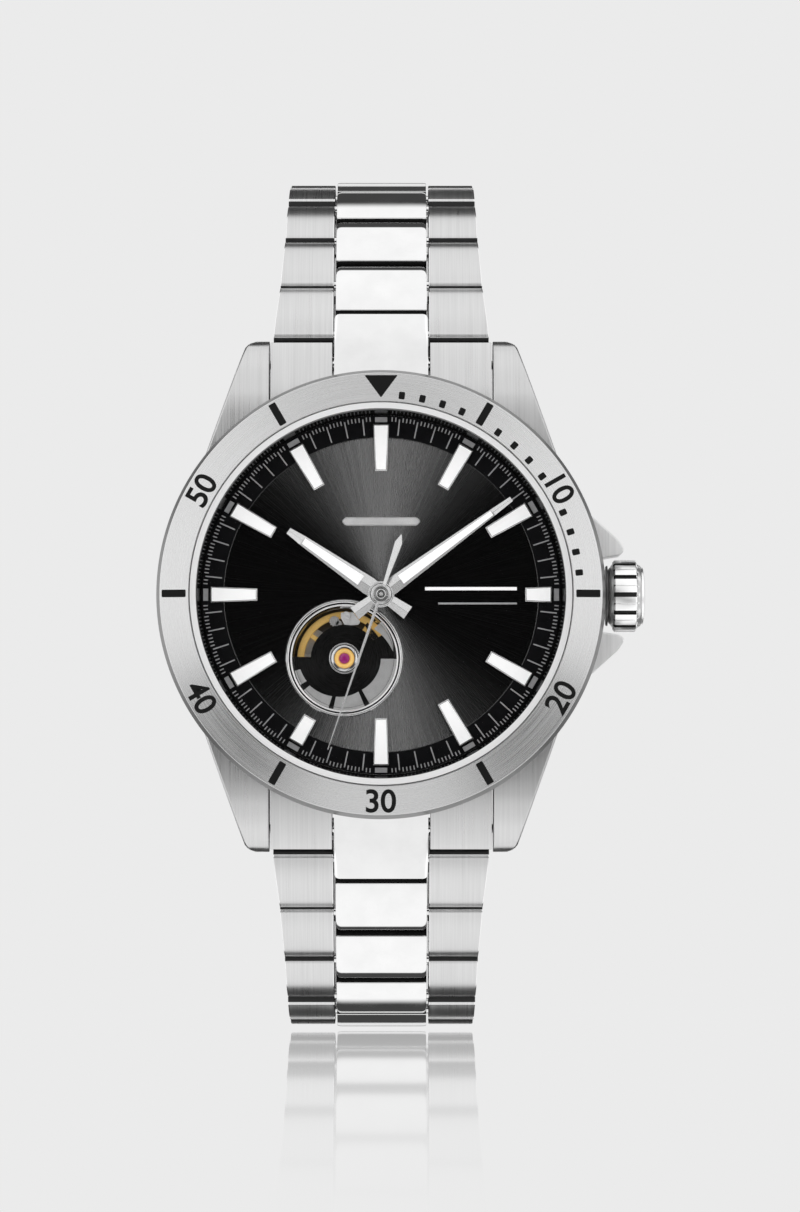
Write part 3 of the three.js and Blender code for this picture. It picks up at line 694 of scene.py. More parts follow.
def numeral(text, angle, turn):
    curve = bpy.data.curves.new(f"numeral_{text}", "FONT")
    curve.body = text
    curve.align_x = "CENTER"
    curve.align_y = "CENTER"
    curve.size = NUMERAL_SIZE
    curve.space_character = 0.98
    curve.extrude = NUMERAL_DEPTH
    curve.offset = 0.055
    curve.resolution_u = 6
    shown = bpy.data.objects.new(f"numeral_{text}_text", curve)
    bpy.context.scene.collection.objects.link(shown)
    bpy.context.view_layer.update()
    mesh = bpy.data.meshes.new_from_object(shown.evaluated_get(bpy.context.evaluated_depsgraph_get()))
    bpy.data.objects.remove(shown)
    bm = bmesh.new()
    bm.from_mesh(mesh)
    xs = [v.co.x for v in bm.verts]
    ys = [v.co.y for v in bm.verts]
    middle = Vector(((min(xs) + max(xs)) / 2, (min(ys) + max(ys)) / 2, 0))
    scale = NUMERAL_HEIGHT / (max(ys) - min(ys))
    for v in bm.verts:
        flat = (v.co - middle) * scale
        v.co = Vector((flat.x, -v.co.z / NUMERAL_DEPTH * 0.06 + 0.04, flat.y))
    piece(f"numeral_{text}", bm, ENGRAVED, "bezel", bezel_place(MARK_R, angle, turn))


def make_bezel():
    profile = rounded([
        (19.45, BEZEL_BACK), (21.5, BEZEL_BACK, 0.15), (BEZEL_R, BEZEL_BACK - 0.5, 0.15),
        (*BEZEL_EDGE, 0.07), (*BEZEL_INNER, 0.06), (18.68, BEZEL_TOP + 0.7, 0.05), (19.45, BEZEL_TOP + 0.8),
    ], 0.05, 4)
    ring = piece("bezel_ring", turned(profile, steps=240), BEZEL_STEEL, "bezel",
                 replaces=["bezel"], sharp=40)
    ring.data.materials.append(BEZEL_SIDE)
    # Faces looking outwards take the darker bezel-side steel: painted shade on the outer wall.
    for face in ring.data.polygons:
        out = Vector((face.center.x, 0, face.center.z)).normalized()
        if face.normal.dot(out) > 0.8:
            face.material_index = 1
    bezel_mark("bezel_triangle", MARK_R, 0, [(-1.62, 1.15), (1.62, 1.15), (0, -1.13)], 0.1)
    for angle in range(30, 360, 60):
        bezel_mark(f"bezel_bar_{angle}", MARK_R, angle,
                   [(-0.37, -1.22), (0.37, -1.22), (0.37, 1.2), (-0.37, 1.2)])
    for minute in range(1, 15):
        if minute % 5:
            bezel_mark(f"bezel_dot_{minute}", 19.4, 6 * minute,
                       [(-0.3, -0.38), (0.3, -0.38), (0.3, 0.38), (-0.3, 0.38)], 0.14)
    for text, angle, turn in (("10", 60, 0), ("20", 120, 180), ("30", 180, 180),
                              ("40", 240, 180), ("50", 300, 0)):
        numeral(text, angle, turn)


# ---------- crystal and rehaut ----------
def make_crystal():
    flat = CRYSTAL_R - 0.5
    body = [(0, CRYSTAL_BACK), (flat, CRYSTAL_BACK), (flat, CRYSTAL_TOP + 0.02), (0, CRYSTAL_TOP)]
    piece("crystal_disc", turned(body, steps=128), SAPPHIRE, "case", replaces=["crystal"])
    bevel = rounded([(flat + 0.01, CRYSTAL_BACK), (CRYSTAL_R + 0.12, CRYSTAL_BACK),
                     (CRYSTAL_R + 0.12, CRYSTAL_TOP + 0.55), (flat + 0.01, CRYSTAL_TOP + 0.02)], 0.05, 3)
    # This bevel ring carries the painted highlight of the crystal's edge.
    piece("crystal_bevel", turned(bevel, steps=200), SAPPHIRE_EDGE, "case")
    slope = rounded([(17.62, DIAL_TOP - 0.02), (18.3, DIAL_TOP - 0.02), (18.3, CRYSTAL_BACK + 0.1),
                     (18.02, CRYSTAL_BACK + 0.1)], 0.04, 2)
    piece("rehaut_slope", turned(slope, steps=200), REHAUT, "case")


# ---------- dial ----------
def pierced_disc(r, hole_r, low, high):
    """A disc about the frame's Y axis, with a round hole over the balance."""
    steps = 240
    bm = bmesh.new()
    rings = []
    for y, edge in ((low, 0.05), (low + 0.05, 0), (high - 0.05, 0), (high, 0.05)):
        rim, hole = [], []
        for i in range(steps):
            dx, dz = clock(1, 360 * i / steps)
            along = BALANCE.x * dx + BALANCE.z * dz
            square = BALANCE.x ** 2 + BALANCE.z ** 2
            reach = sqrt(along ** 2 - square + (r - edge) ** 2) - along
            rim.append(bm.verts.new((BALANCE.x + reach * dx, y, BALANCE.z + reach * dz)))
            wide = hole_r + edge
            hole.append(bm.verts.new((BALANCE.x + wide * dx, y, BALANCE.z + wide * dz)))
        rings.append((rim, hole))
    for i in range(steps):
        j = (i + 1) % steps
        for rim, hole in (rings[0], rings[-1]):
            bm.faces.new((rim[i], rim[j], hole[j], hole[i]))
        for first, second in zip(rings, rings[1:]):
            for a, b in zip(first, second):
                bm.faces.new((a[i], a[j], b[j], b[i]))
    return bm


def make_dial():
    piece("dial_plate", pierced_disc(DIAL_R, WINDOW_R, DIAL_TOP, DIAL_TOP + 0.4), DIAL_BLACK, "case",
          replaces=["dial"])
    track = rounded([(TRACK_INNER, DIAL_TOP + 0.02), (TRACK_INNER, TRACK_TOP, 0.06),
                     (TRACK_OUTER, TRACK_TOP, 0.04), (TRACK_OUTER, DIAL_TOP + 0.02)], 0, 3)
    piece("minute_track", turned(track, steps=200), TRACK_BLACK, "case",
          replaces=["chapter_ring"])
    bright = rounded([(TRACK_INNER - 0.07, DIAL_TOP + 0.02), (TRACK_INNER - 0.07, TRACK_TOP + 0.03),
                      (TRACK_INNER, TRACK_TOP + 0.005), (TRACK_INNER, DIAL_TOP + 0.02)], 0.02, 2)
    piece("minute_track_rim", turned(bright, steps=200), REHAUT, "case")
    make_minute_marks()
    for hour in range(12):
        make_marker(hour)


def make_minute_marks():
    """Printed hashes: four fine ones between minutes, a long one at each, and a block at each hour."""
    def mark(bm, angle, inner, outer, half):
        corners = [(-half, inner), (half, inner), (half, outer), (-half, outer)]
        add_prism(bm, swung(corners, angle), TRACK_TOP - 0.02, TRACK_TOP + 0.02, "front")
    fine, blocks = bmesh.new(), bmesh.new()
    per_turn = 300
    for step in range(per_turn):
        angle = 360 * step / per_turn
        from_hour = min(step % 25, 25 - step % 25)
        if from_hour < 3:
            if from_hour == 0:
                mark(blocks, angle, 16.93, 17.42, 0.6)
            continue
        if step % 5:
            mark(fine, angle, 17.02, 17.44, 0.055)
        else:
            mark(fine, angle, 15.68, 17.3, 0.06)
    piece("minute_hashes", fine, PRINT_GREY, "case")
    piece("hour_blocks", blocks, PRINT_GREY, "case")


def make_marker(hour):
    """A tapered applied baton: a polished frame round a bed of lume."""
    inner = {3: 14.1, 7: 13.85}.get(hour, 12.1)
    outer = 16.72
    half_out = 0.8
    half_in = half_out - 0.175 * (outer - inner) / 4.6
    wall = 0.15
    base, top, bed = DIAL_TOP, DIAL_TOP - 0.62, DIAL_TOP - 0.54
    slope = 0.09
    def ring(grow, y):
        return [(-half_in - grow, y, inner - grow), (half_in + grow, y, inner - grow),
                (half_out + grow, y, outer + grow), (-half_out - grow, y, outer + grow)]
    sections = [ring(0, base), ring(0, top + slope), ring(-slope, top), ring(-wall, top), ring(-wall, bed)]
    turn = Matrix.Rotation(radians(30 * hour), 4, "Y")
    piece(f"marker_{hour or 12}_frame", loft(sections, 0.012, 1, 20), POLISHED, "case",
          turn)
    lume = loft([ring(-wall - 0.005, bed + 0.01), ring(-wall - 0.005, bed - 0.045)], 0.02, 2)
    piece(f"marker_{hour or 12}_lume", lume, LUME, "case", turn)


def make_dial_mark():
    """A plain applied lozenge and two printed lines."""
    z = 7.2
    shape = [(-3.9, z), (-3.5, z + 0.42), (3.5, z + 0.42), (3.9, z), (3.5, z - 0.42), (-3.5, z - 0.42)]
    piece("dial_lozenge", prism(shape, DIAL_TOP - 0.22, DIAL_TOP, bevel=0.12, segments=1), SATIN, "case")
    for name, x0, x1, z, half, material in (("upper", 4.3, 13.3, 0.6, 0.16, LUME),
                                            ("lower", 5.6, 13.3, -0.85, 0.09, PRINT_GREY)):
        line = [(x0, z - half), (x1, z - half), (x1, z + half), (x0, z + half)]
        piece(f"dial_line_{name}", prism(line, DIAL_TOP - 0.015, DIAL_TOP + 0.01), material, "case")


# ---------- window over the balance ----------
def at_balance(outline):
    return [(BALANCE.x + x, BALANCE.z + z) for x, z in outline]


def make_window():
    x, z = BALANCE.x, BALANCE.z
    ring = rounded([(5.4, DIAL_TOP + 0.02), (5.84, DIAL_TOP + 0.02), (5.84, DIAL_TOP - 0.15, 0.1),
                    (5.64, DIAL_TOP - 0.38, 0.12), (5.42, DIAL_TOP - 0.3, 0.08)], 0.05, 4)
    piece("window_ring", turned(ring, x, z, 128), POLISHED, "case",
          replaces=["aperture_ring"])
    inner = rounded([(4.86, -7.25), (5.3, -7.25), (5.3, DIAL_TOP - 0.2, 0.06), (5.12, DIAL_TOP - 0.12, 0.05)],
                    0.03, 3)
    piece("window_inner_ring", turned(inner, x, z, 128), POLISHED, "case")
    groove = [(5.28, -7.4), (5.44, -7.4), (5.44, DIAL_TOP - 0.1), (5.28, DIAL_TOP - 0.1)]
    piece("window_groove", turned(groove, x, z, 96), TRACK_BLACK, "case")


def make_plate():
    """The black main plate, with the pocket that shows the balance."""
    top, low = -7.1, -6.3
    outline = at_balance(arc(5.25, 58, 272, 60) + arc(3.3, 272, 418, 48))
    piece("plate_window", prism(outline, top, low, bevel=0.03), SNAILED, "case",
          replaces=["main_plate", "movement_ring"])
    rest = turned(rounded([(12.9, -6.2), (12.9, -5.7), (0.01, -5.7), (0.01, -6.2)], 0.0, 1), steps=96)
    plate = piece("plate_rest", rest, SPUN_STEEL, "case")
    pocket = bmesh.new()
    add_turned(pocket, [(0, -8), (4.95, -8), (4.95, -5), (0, -5)], x=BALANCE.x, z=BALANCE.z, steps=96)
    cut(plate, pocket)
    holder = rounded([(13.05, -7.1), (18.1, -7.1), (18.1, -3.3), (13.05, -3.3)], 0.1, 2)
    piece("movement_holder", turned(holder, steps=96), RUBBER, "case")
    lift = top - 0.04
    steps = 20
    for index, (start, stop, inner_a, inner_b) in enumerate((
            (90.5, 151, 3.57, 3.52), (157, 192.5, 3.54, 3.85),
            (198, 232, 3.9, 4.32), (239, 256, 4.32, 4.45))):
        rim = arc(POCKET_R, start, stop, steps)
        back = [clock(inner_b + (inner_a - inner_b) * i / steps, stop + (start - stop) * i / steps)
                for i in range(steps + 1)]
        piece(f"plate_segment_{index + 1}", prism(at_balance(rim + back), lift, top + 0.05, bevel=0.015),
              PLATE_GREY, "case")
    horn = [clock(POCKET_R - 0.75 * (i / steps) ** 0.8, 82 - 37 * i / steps) for i in range(steps + 1)]
    crescent = at_balance(arc(POCKET_R, 45, 82, steps) + horn)
    piece("plate_crescent", prism(crescent, lift, top + 0.05, bevel=0.01), PLATE_GREY, "case")


def make_jewel():
    x, z = BALANCE.x, BALANCE.z
    base = -7.08
    outer = rounded([(1.38, base), (1.52, base), (1.52, -7.28), (1.38, -7.28)], 0.05, 3)
    piece("jewel_outer_ring", turned(outer, x, z, 64), POLISHED, "case")
    ring = rounded([(1.0, base), (1.3, base), (1.3, -7.34), (1.0, -7.4)], 0.06, 3)
    piece("jewel_steel_ring", turned(ring, x, z, 64), POLISHED, "case",
          replaces=["jewel_setting"])
    gilt = rounded([(0.5, base), (0.98, base), (0.98, -7.24), (0.85, -7.34), (0.68, -7.3), (0.55, -7.2)],
                   0.04, 3)
    piece("jewel_gilt_setting", turned(gilt, x, z, 64), GILT, "case")
    dome = [(0, -7.05), (0.5, -7.05), (0.5, -7.22)] + [
        (0.49 * cos(radians(a)), -7.22 - 0.13 * sin(radians(a))) for a in range(15, 90, 15)] + [(0, -7.35)]
    piece("jewel_ruby", turned(dome, x, z, 48), RUBY, "case")


def screw(name, x, z, y, r, body="case", outwards=-1, turn=30.0, material=None):
    """A slotted screw head that faces -Y or, with outwards=1, +Y."""
    height = 0.28 * r / 0.4
    bm = bmesh.new()
    gap = 0.14 * r
    for side in (1, -1):
        half = [(r * cos(radians(a)), side * (gap + (r - gap) * sin(radians(a)))) for a in range(0, 181, 15)]
        add_prism(bm, half, 0, outwards * height, "front")
    softened(bm, 0.03 * r / 0.4, 1)
    add_turned(bm, [(0, 0), (r * 0.96, 0), (r * 0.96, outwards * height * 0.5), (0, outwards * height * 0.5)],
               steps=24)
    place = Matrix.Translation((x, y, z)) @ Matrix.Rotation(radians(turn), 4, "Y")
    piece(name, bm, material or POLISHED, body, place)


def make_balance():
    x, z = BALANCE.x, BALANCE.z
    low, high = low_high("balance_wheel")
    y0, y1 = low.y, high.y
    rim = rounded([(3.98, y0), (4.66, y0), (4.66, y1), (3.98, y1)], 0.08, 3)
    bm = turned(rim, x, z, 128)
    add_turned(bm, rounded([(0.24, y0), (0.8, y0), (0.8, y1), (0.24, y1)], 0.05, 2), x, z, 48)
    for turn in (35, 125):
        a, b = clock(1, turn)
        c, d = clock(1, turn + 90)
        for sign in (1, -1):
            outline = [(x + sign * (a * r + c * w), z + sign * (b * r + d * w))
                       for r, w in ((0.7, 0.3), (4.05, 0.2), (4.05, -0.2), (0.7, -0.3))]
            add_prism(bm, outline, y0 + 0.1, y1 - 0.1, "front")
    piece("balance_rim", bm, GILT, "balance", replaces=["balance_wheel"])
    for index, angle in enumerate(range(15, 375, 30)):
        sx, sz = clock(4.32, angle, x, z)
        screw(f"balance_screw_{index + 1}", sx, sz, y0, 0.12, "balance", material=GILT)
    staff = [(0, -6.9), (0.1, -6.9), (0.16, -6.8), (0.16, -5.9), (0.22, -5.85), (0.22, -3.9), (0.12, -3.8),
             (0.12, -3.45), (0, -3.4)]
    piece("balance_axle", turned(staff, x, z, 32), POLISHED, "balance",
          replaces=["balance_staff"])


def make_balance_surroundings():
    """What shows past the balance: a bridge piece, a cock with its screw, two pinions, and the pocket."""
    wedge = at_balance([(-4.75, 0.05), (-2.7, 0.05), (-2.62, 0.75), (-2.2, 1.5), (-1.62, 2.3), (-2.8, 3.0),
                        (-3.7, 2.4), (-4.4, 1.3)])
    piece("bridge_wedge", prism(wedge, -4.6, -4.3, bevel=0.04), PLATE_GREY, "case")
    lip = at_balance(rounded([(-4.72, 0.08), (-2.72, 0.08), (-2.8, 0.55), (-3.3, 0.5), (-3.7, 0.42),
                              (-4.1, 0.62), (-4.3, 1.0), (-4.6, 1.0)], 0.12, 2))
    piece("bridge_lip", prism(lip, -4.8, -4.58, bevel=0.03), SATIN, "case")
    cock = at_balance(rounded([(-0.35, 4.5), (0.85, 4.55), (1.55, 3.6), (1.35, 3.3), (0.05, 3.22),
                               (-0.35, 3.95)], 0.08, 2))
    piece("pallet_cock", prism(cock, -7.02, -6.3, bevel=0.04), SATIN, "case")
    screw("pallet_cock_screw", BALANCE.x + 0.2, BALANCE.z + 4.2, -7.02, 0.4, material=SATIN)
    for index, (x, z, r) in enumerate(((-1.0, 3.7, 0.55), (-0.55, 3.4, 0.38))):
        gear(f"pinion_{index + 1}", BALANCE.x + x, BALANCE.z + z, r, 12, -5.9, -5.6, SATIN, "case")
    floor = at_balance(arc(4.9, -90, 62, 40) + arc(2.6, 62, -90, 40))
    piece("pocket_floor", prism(floor, -3.7, -3.5), PLATE_DARK, "case")
    wall = [(4.88, -6.9), (5.3, -6.9), (5.3, -3.6), (4.88, -3.6)]
    piece("pocket_wall", turned(wall, BALANCE.x, BALANCE.z, 96), TRACK_BLACK, "case")


def gear(name, x, z, r, teeth, y0, y1, material, body, replaces=(), rake=0.0, depth=0.16):
    outline = []
    step = 360 / teeth
    for i in range(teeth):
        for share, reach in ((0.0, 1 - depth), (0.25, 1 - depth), (0.4 + rake, 1.0), (0.6 + rake, 1.0),
                             (0.85, 1 - depth)):
            outline.append(clock(r * reach, (i + share) * step, x, z))
    bm = prism(outline, y0, y1, bevel=0.015, segments=1)
    piece(name, bm, material, body, replaces=replaces)


def make_escapement():
    high = low_high("escape_wheel")[1]
    gear("escape_wheel_teeth", ESCAPE.x, ESCAPE.z, 1.6, 20, -5.5, -5.25, GILT, "escape_wheel",
         ["escape_wheel"], rake=0.12, depth=0.2)
    piece("escape_arbor", disc(0.22, -5.6, high.y, ESCAPE.x, ESCAPE.z, 0.03, 24), POLISHED, "escape_wheel")


# ---------- hands ----------
def hand_blade(name, stations, base, edge, ridge, lume, clock_angle, body):
    """A roof-shaped blade. stations are (reach, half width); lume is (start, stop, share of the width)."""
    turn = Matrix.Rotation(radians(clock_angle), 4, "Y")
    sections = [[(-w, base, r), (-w, edge, r), (0, edge + (ridge - edge) * min(1, w / 0.5), r), (w, edge, r),
                 (w, base, r)] for r, w in stations]
    piece(f"{name}_blade", loft(sections, 0.012, 1, 8), POLISHED_SOFT, body, turn,
          replaces=[name], sharp=4)
    if not lume:
        return
    start, stop, share = lume
    def half(r):
        for (r0, w0), (r1, w1) in zip(stations, stations[1:]):
            if r0 <= r <= r1:
                return w0 + (w1 - w0) * (r - r0) / (r1 - r0)
        return 0.2
    outline = [(-half(start) * share, start), (half(start) * share, start), (half(stop) * share, stop),
               (-half(stop) * share, stop)]
    piece(f"{name}_lume", prism(outline, ridge - 0.03, base, bevel=0.02), LUME, body, turn)


HAND_ANGLES = {"hour_hand": 304.5, "minute_hand": 53.8, "seconds_hand": 198.9}
HUB_BACK = -7.3


def make_hands():
    hand_blade("hour_hand", [(-3.2, 0.72), (-1.0, 0.56), (0, 0.8), (1.5, 0.9), (9.3, 0.5), (11.0, 0.33)],
               -8.62, -8.72, -8.98, (2.4, 9.2, 0.62), HAND_ANGLES["hour_hand"], "hour_hand")
    hand_blade("minute_hand",
               [(-3.2, 0.72), (-1.0, 0.56), (0, 0.75), (1.5, 0.82), (13.6, 0.36), (15.8, 0.25)],
               -9.08, -9.18, -9.42, (2.4, 13.4, 0.62), HAND_ANGLES["minute_hand"], "minute_hand")
    piece("hour_hub", turned([(0.8, HUB_BACK), (0.98, HUB_BACK), (0.98, -8.6), (1.28, -8.6), (1.28, -8.96),
                              (1.2, -9.02), (0.8, -9.02)], steps=64), POLISHED_SOFT, "hour_hand")
    piece("minute_hub", turned([(0.42, HUB_BACK), (0.6, HUB_BACK), (0.6, -9.05), (1.16, -9.05), (1.16, -9.4),
                                (1.08, -9.46), (0.42, -9.46)], steps=64), POLISHED_SOFT, "minute_hand")
    make_seconds()


def make_seconds():
    turn = Matrix.Rotation(radians(HAND_ANGLES["seconds_hand"]), 4, "Y")
    stations = [(-6.15, 0.03), (-5.3, 0.36), (-1.0, 0.15), (0.0, 0.16), (1.0, 0.15), (16.05, 0.05)]
    sections = [[(-w, -9.66, r), (-w, -9.74, r), (0, -9.74 - min(0.12, w), r), (w, -9.74, r), (w, -9.66, r)]
                for r, w in stations]
    piece("seconds_needle", loft(sections, 0.0), POLISHED_SOFT, "seconds_hand", turn,
          replaces=["seconds_hand"], sharp=4)
    cap = rounded([(0.14, -9.5), (0.14, -9.95, 0.03), (0.42, -9.95, 0.03), (0.46, -9.88, 0.02),
                   (0.78, -9.88, 0.04), (0.82, -9.82, 0.02), (1.0, -9.8, 0.05), (1.0, -9.55, 0.05)], 0.02, 3)
    piece("seconds_hub", turned(cap, steps=64), POLISHED_SOFT, "seconds_hand")
    post = [(0, HUB_BACK), (0.3, HUB_BACK), (0.3, -9.55), (0, -9.55)]
    piece("seconds_post", turned(post, steps=32), POLISHED, "seconds_hand")


# ---------- case ----------
def make_case():
    band = rounded([
        (17.4, -1.2), (19.4, -1.2, 0.3), (20.6, -2.2, 0.5), (20.9, -3.2, 0.4), (20.9, -7.2, 0.3),
        (20.4, -8.0, 0.1), (19.3, -8.0, 0.05), (19.3, -10.35, 0.05), (18.35, -10.35, 0.05),
        (18.35, -3.1, 0.05), (17.4, -3.1)], 0.05, 4)
    band_piece = piece("case_band", turned(band, steps=200), BRUSHED_CASE, "case",
                       replaces=["mid_case"], sharp=30)
    hole = bmesh.new()
    add_turned(hole, [(0, 0), (1.5, 0), (1.5, 9), (0, 9)], steps=48)
    bmesh.ops.transform(hole, matrix=along_x((16, CROWN_Y, 0)), verts=hole.verts)
    cut(band_piece, hole)
    for word, sz in ENDS:
        for side, sx in SIDES:
            make_lug(f"lug_{word}_{side}", sx, sz)
    guard = rounded([(19.5, 8.5, 0), (20.4, 7.95, 0), (23.3, 5.35, 0.9), (23.85, 4.4, 0.6), (23.5, 3.95, 0.3),
                     (21.5, 3.62, 0), (19.5, 3.6, 0)], 0.1, 5)
    for word, sign in ENDS:
        outline = [(x, sign * z) for x, z in guard]
        piece(f"crown_guard_{word}", prism(outline, -7.45, -2.2, bevel=0.16), BRUSHED_GUARD, "case")


def mix_points(points, at):
    """Linear interpolation along a list of (place, value)."""
    for (a, va), (b, vb) in zip(points, points[1:]):
        if a <= at <= b:
            return va + (vb - va) * (at - a) / (b - a)
    return points[-1][1]


def cylinder_y(r):
    """A cylinder about the frame's Y axis, for cutting what meets the case."""
    bm = bmesh.new()
    add_turned(bm, [(0, -12), (r, -12), (r, 1), (0, 1)], steps=160)
    return bm


LUG_OUTER = [(6.0, 19.9), (14.15, 17.1), (24.55, 13.4), (24.95, 13.05), (25.2, 12.4)]
LUG_TOP = [(6.0, -7.9), (14.0, -7.75), (17.0, -7.6), (20.0, -7.2), (22.5, -6.45), (24.0, -5.6), (24.8, -4.8),
           (25.2, -4.0)]
LUG_BACK = [(6.0, -1.3), (19.0, -1.25), (22.5, -1.0), (24.0, -1.15), (24.8, -1.8), (25.2, -2.8)]


def make_lug(name, sx, sz):
    inner = 11.02
    stops = [9.0, 12, 14.15, 16, 18, 19.5, 20.5, 21.5, 22.3, 23.0, 23.6, 24.1, 24.5, 24.8, 25.0, 25.12, 25.2]
    sections = []
    chamfer = 0.16
    for z in stops:
        outer, top, back = (mix_points(points, z) for points in (LUG_OUTER, LUG_TOP, LUG_BACK))
        sections.append([(sx * x, y, sz * z) for x, y in (
            (inner, back), (inner, top + 0.06), (inner + 0.07, top), (outer - chamfer, top),
            (outer, top + chamfer), (outer, back - 0.4), (outer - 0.4, back))])
    lug = piece(name, loft(sections, 0.05, 2, 32), BRUSHED_LUG, "case", sharp=28)
    cut(lug, cylinder_y(19.6))


CROWN_Y = (low_high("crown")[0].y + low_high("crown")[1].y) / 2
CROWN_X = low_high("crown")[0].x
FLUTES = 12
FLUTE_DEPTH = 0.2


def make_crown():
    def fluted(r, y, angle):
        """Narrow grooves along the grip, with a fine line half way between them."""
        if not 0.5 < y < 2.9:
            return r
        phase = (angle * FLUTES / 360) % 1.0
        from_flute = min(phase, 1 - phase)
        if from_flute < 0.09:
            return r - FLUTE_DEPTH
        if from_flute > 0.47:
            return r - 0.09
        return r
    grip = [(0, 0), (2.2, 0), (2.6, 0.05), (3.1, 0.42), (3.16, 0.5)]
    grip += [(3.36, 0.52), (3.52, 0.66), (3.52, 2.62), (3.46, 2.74), (3.2, 2.86)]
    grip += [(3.12, 2.94), (3.0, 3.16), (2.84, 3.28), (2.6, 3.3), (0, 3.3)]
    place = along_x((CROWN_X, CROWN_Y, 0))
    made = piece("crown_grip", turned(grip, steps=FLUTES * 24, shape=fluted), CROWN_STEEL, "crown",
                 place, replaces=["crown"], sharp=30)
    # The groove bottoms of the grip take the near-black steel: painted shade in the flutes.
    made.data.materials.append(PAINTED_SHADE)
    middle = Vector((0, CROWN_Y, 0)) / MM
    for face in made.data.polygons:
        away = face.center - middle
        reach = MM * sqrt(away.y ** 2 + away.z ** 2)
        along = MM * face.center.x - CROWN_X
        if 0.5 < along < 2.8 and reach < 3.42:
            face.material_index = 1
    cap = [(0, 3.2), (2.74, 3.2), (2.8, 3.3), (2.76, 3.46), (2.4, 3.57), (1.8, 3.64), (1.0, 3.68), (0, 3.7)]
    piece("crown_cap", turned(cap, steps=96), CROWN_STEEL, "crown", place)
    piece("stem_rod", disc(0.55, 12.2, CROWN_X - 0.02, steps=24), POLISHED, "winding_stem",
          along_x((0, CROWN_Y, 0)), replaces=["winding_stem"])
    tube = rounded([(0.75, 18.4), (1.4, 18.4), (1.4, BEZEL_R + 0.05), (2.9, BEZEL_R + 0.08),
                    (3.0, CROWN_X - 0.03), (0.75, CROWN_X - 0.03)], 0.03, 2)
    piece("crown_sleeve", turned(tube, steps=64), SPUN_X, "case",
          along_x((0, CROWN_Y, 0)), replaces=["crown_tube"])


# ---------- case back and what shows through it ----------
def make_back():
    ring = rounded([(14.15, -0.02), (16.3, 0, 0.1), (17.15, -0.4, 0.1), (17.25, -1.15, 0.05),
                    (17.25, -2.9, 0), (16.2, -2.9, 0), (16.2, -1.3, 0), (13.4, -1.3, 0.05),
                    (13.4, -0.95, 0.05), (14.1, -0.95)], 0.06, 3)
    made = piece("case_back_ring", turned(ring, steps=200), SPUN_STEEL, "case",
                 replaces=["case_back"], sharp=30)
    slots = bmesh.new()
    for angle in range(30, 390, 60):
        corners = swung([(15.2, -0.7), (18, -0.7), (18, 0.7), (15.2, 0.7)], angle)
        add_prism(slots, corners, -0.35, 0.5, "front")
    cut(made, slots)
    window = rounded([(0, -0.9), (14.08, -0.9, 0.02), (14.08, -0.06, 0.06), (0, -0.02)], 0.02, 2, False)
    piece("case_back_glass", turned(window, steps=128), SAPPHIRE, "case",
          replaces=["case_back_window"])
    make_rotor()
    make_bridge()


def make_rotor():
    web = rounded(arc(11.0, 95, 265, 48) + [clock(2.2, 265), clock(2.2, 95)], 0.05, 1)
    bm = prism(web, -2.3, -1.95, bevel=0.04)
    piece("rotor_web", bm, STRIPED, "rotor", replaces=["rotor"])
    weight = arc(12.35, 94, 266, 60) + arc(10.55, 266, 94, 60)
    piece("rotor_weight", prism(weight, -2.42, -1.55, bevel=0.12, segments=3), SPUN_STEEL, "rotor")
    hub = rounded([(1.5, -2.35), (2.65, -2.35), (2.65, -1.75), (1.5, -1.75)], 0.12, 3)
    piece("rotor_hub", turned(hub, steps=72), POLISHED, "rotor")
    bearing = [(0, -3.5), (0.85, -3.5), (0.85, -2.45), (1.36, -2.4), (1.36, -1.8), (1.2, -1.68), (0.5, -1.62),
               (0, -1.6)]
    piece("bearing_core", turned(bearing, steps=64), SPUN_STEEL, "case",
          replaces=["rotor_bearing"])
    for index in range(3):
        x, z = clock(0.75, 120 * index + 20)
        screw(f"bearing_screw_{index + 1}", x, z, -1.66, 0.2, outwards=1)


def make_bridge():
    bridge = piece("train_bridge_plate", disc(12.75, -3.2, -2.7, edge=0.12, steps=128), STRIPED, "case",
                   replaces=["train_bridge"])
    hole = bmesh.new()
    add_turned(hole, [(0, -5), (5.3, -5), (5.3, -1), (0, -1)], BALANCE.x, BALANCE.z, 96)
    add_turned(hole, [(0, -5), (1.0, -5), (1.0, -1), (0, -1)], 0, 0, 48)
    cut(bridge, hole)
    for index, (x, z) in enumerate(((-9.5, 5.5), (9.8, 4.5), (8.2, -7.6), (1.6, 11.2), (-10.6, -1.5))):
        screw(f"bridge_screw_{index + 1}", x, z, -2.95, 0.62, outwards=1, turn=40 * index)
    for index, (x, z) in enumerate(((4.4, -4.2), (6.6, 1.2), (-5.2, 3.8), (2.2, 7.0))):
        rim = rounded([(0.42, -2.72), (0.8, -2.72), (0.8, -2.62), (0.42, -2.6)], 0.03, 2)
        piece(f"bridge_chaton_{index + 1}", turned(rim, x, z, 40), GILT, "case")
        piece(f"bridge_jewel_{index + 1}", disc(0.44, -2.78, -2.62, x, z, 0.06, 32), RUBY, "case")


# ---------- bracelet ----------
SEAM_BACK = 0.8   # from a pin back to the seam of the outer rows
NOSE_GAP = 0.1    # between a link's round nose and the hollow end before it
TONGUE_R = 1.6
CORNER_R = 0.5    # far corners of a centre row
END_LINK_START = 21.0
ROLL_START = 0.74
ROLL_DROP = 0.16


def link_frame(start, end, outside):
    """Maps (x, along, outwards) to the frame, from one pin towards the next."""
    along = (end - start).normalized()
    out = Vector((0, -along.z, along.y))
    if out.dot(outside) < 0:
        out = -out
    return Matrix(((1, along.x, out.x, start.x), (0, along.y, out.y, start.y),
                   (0, along.z, out.z, start.z), (0, 0, 0, 1)))


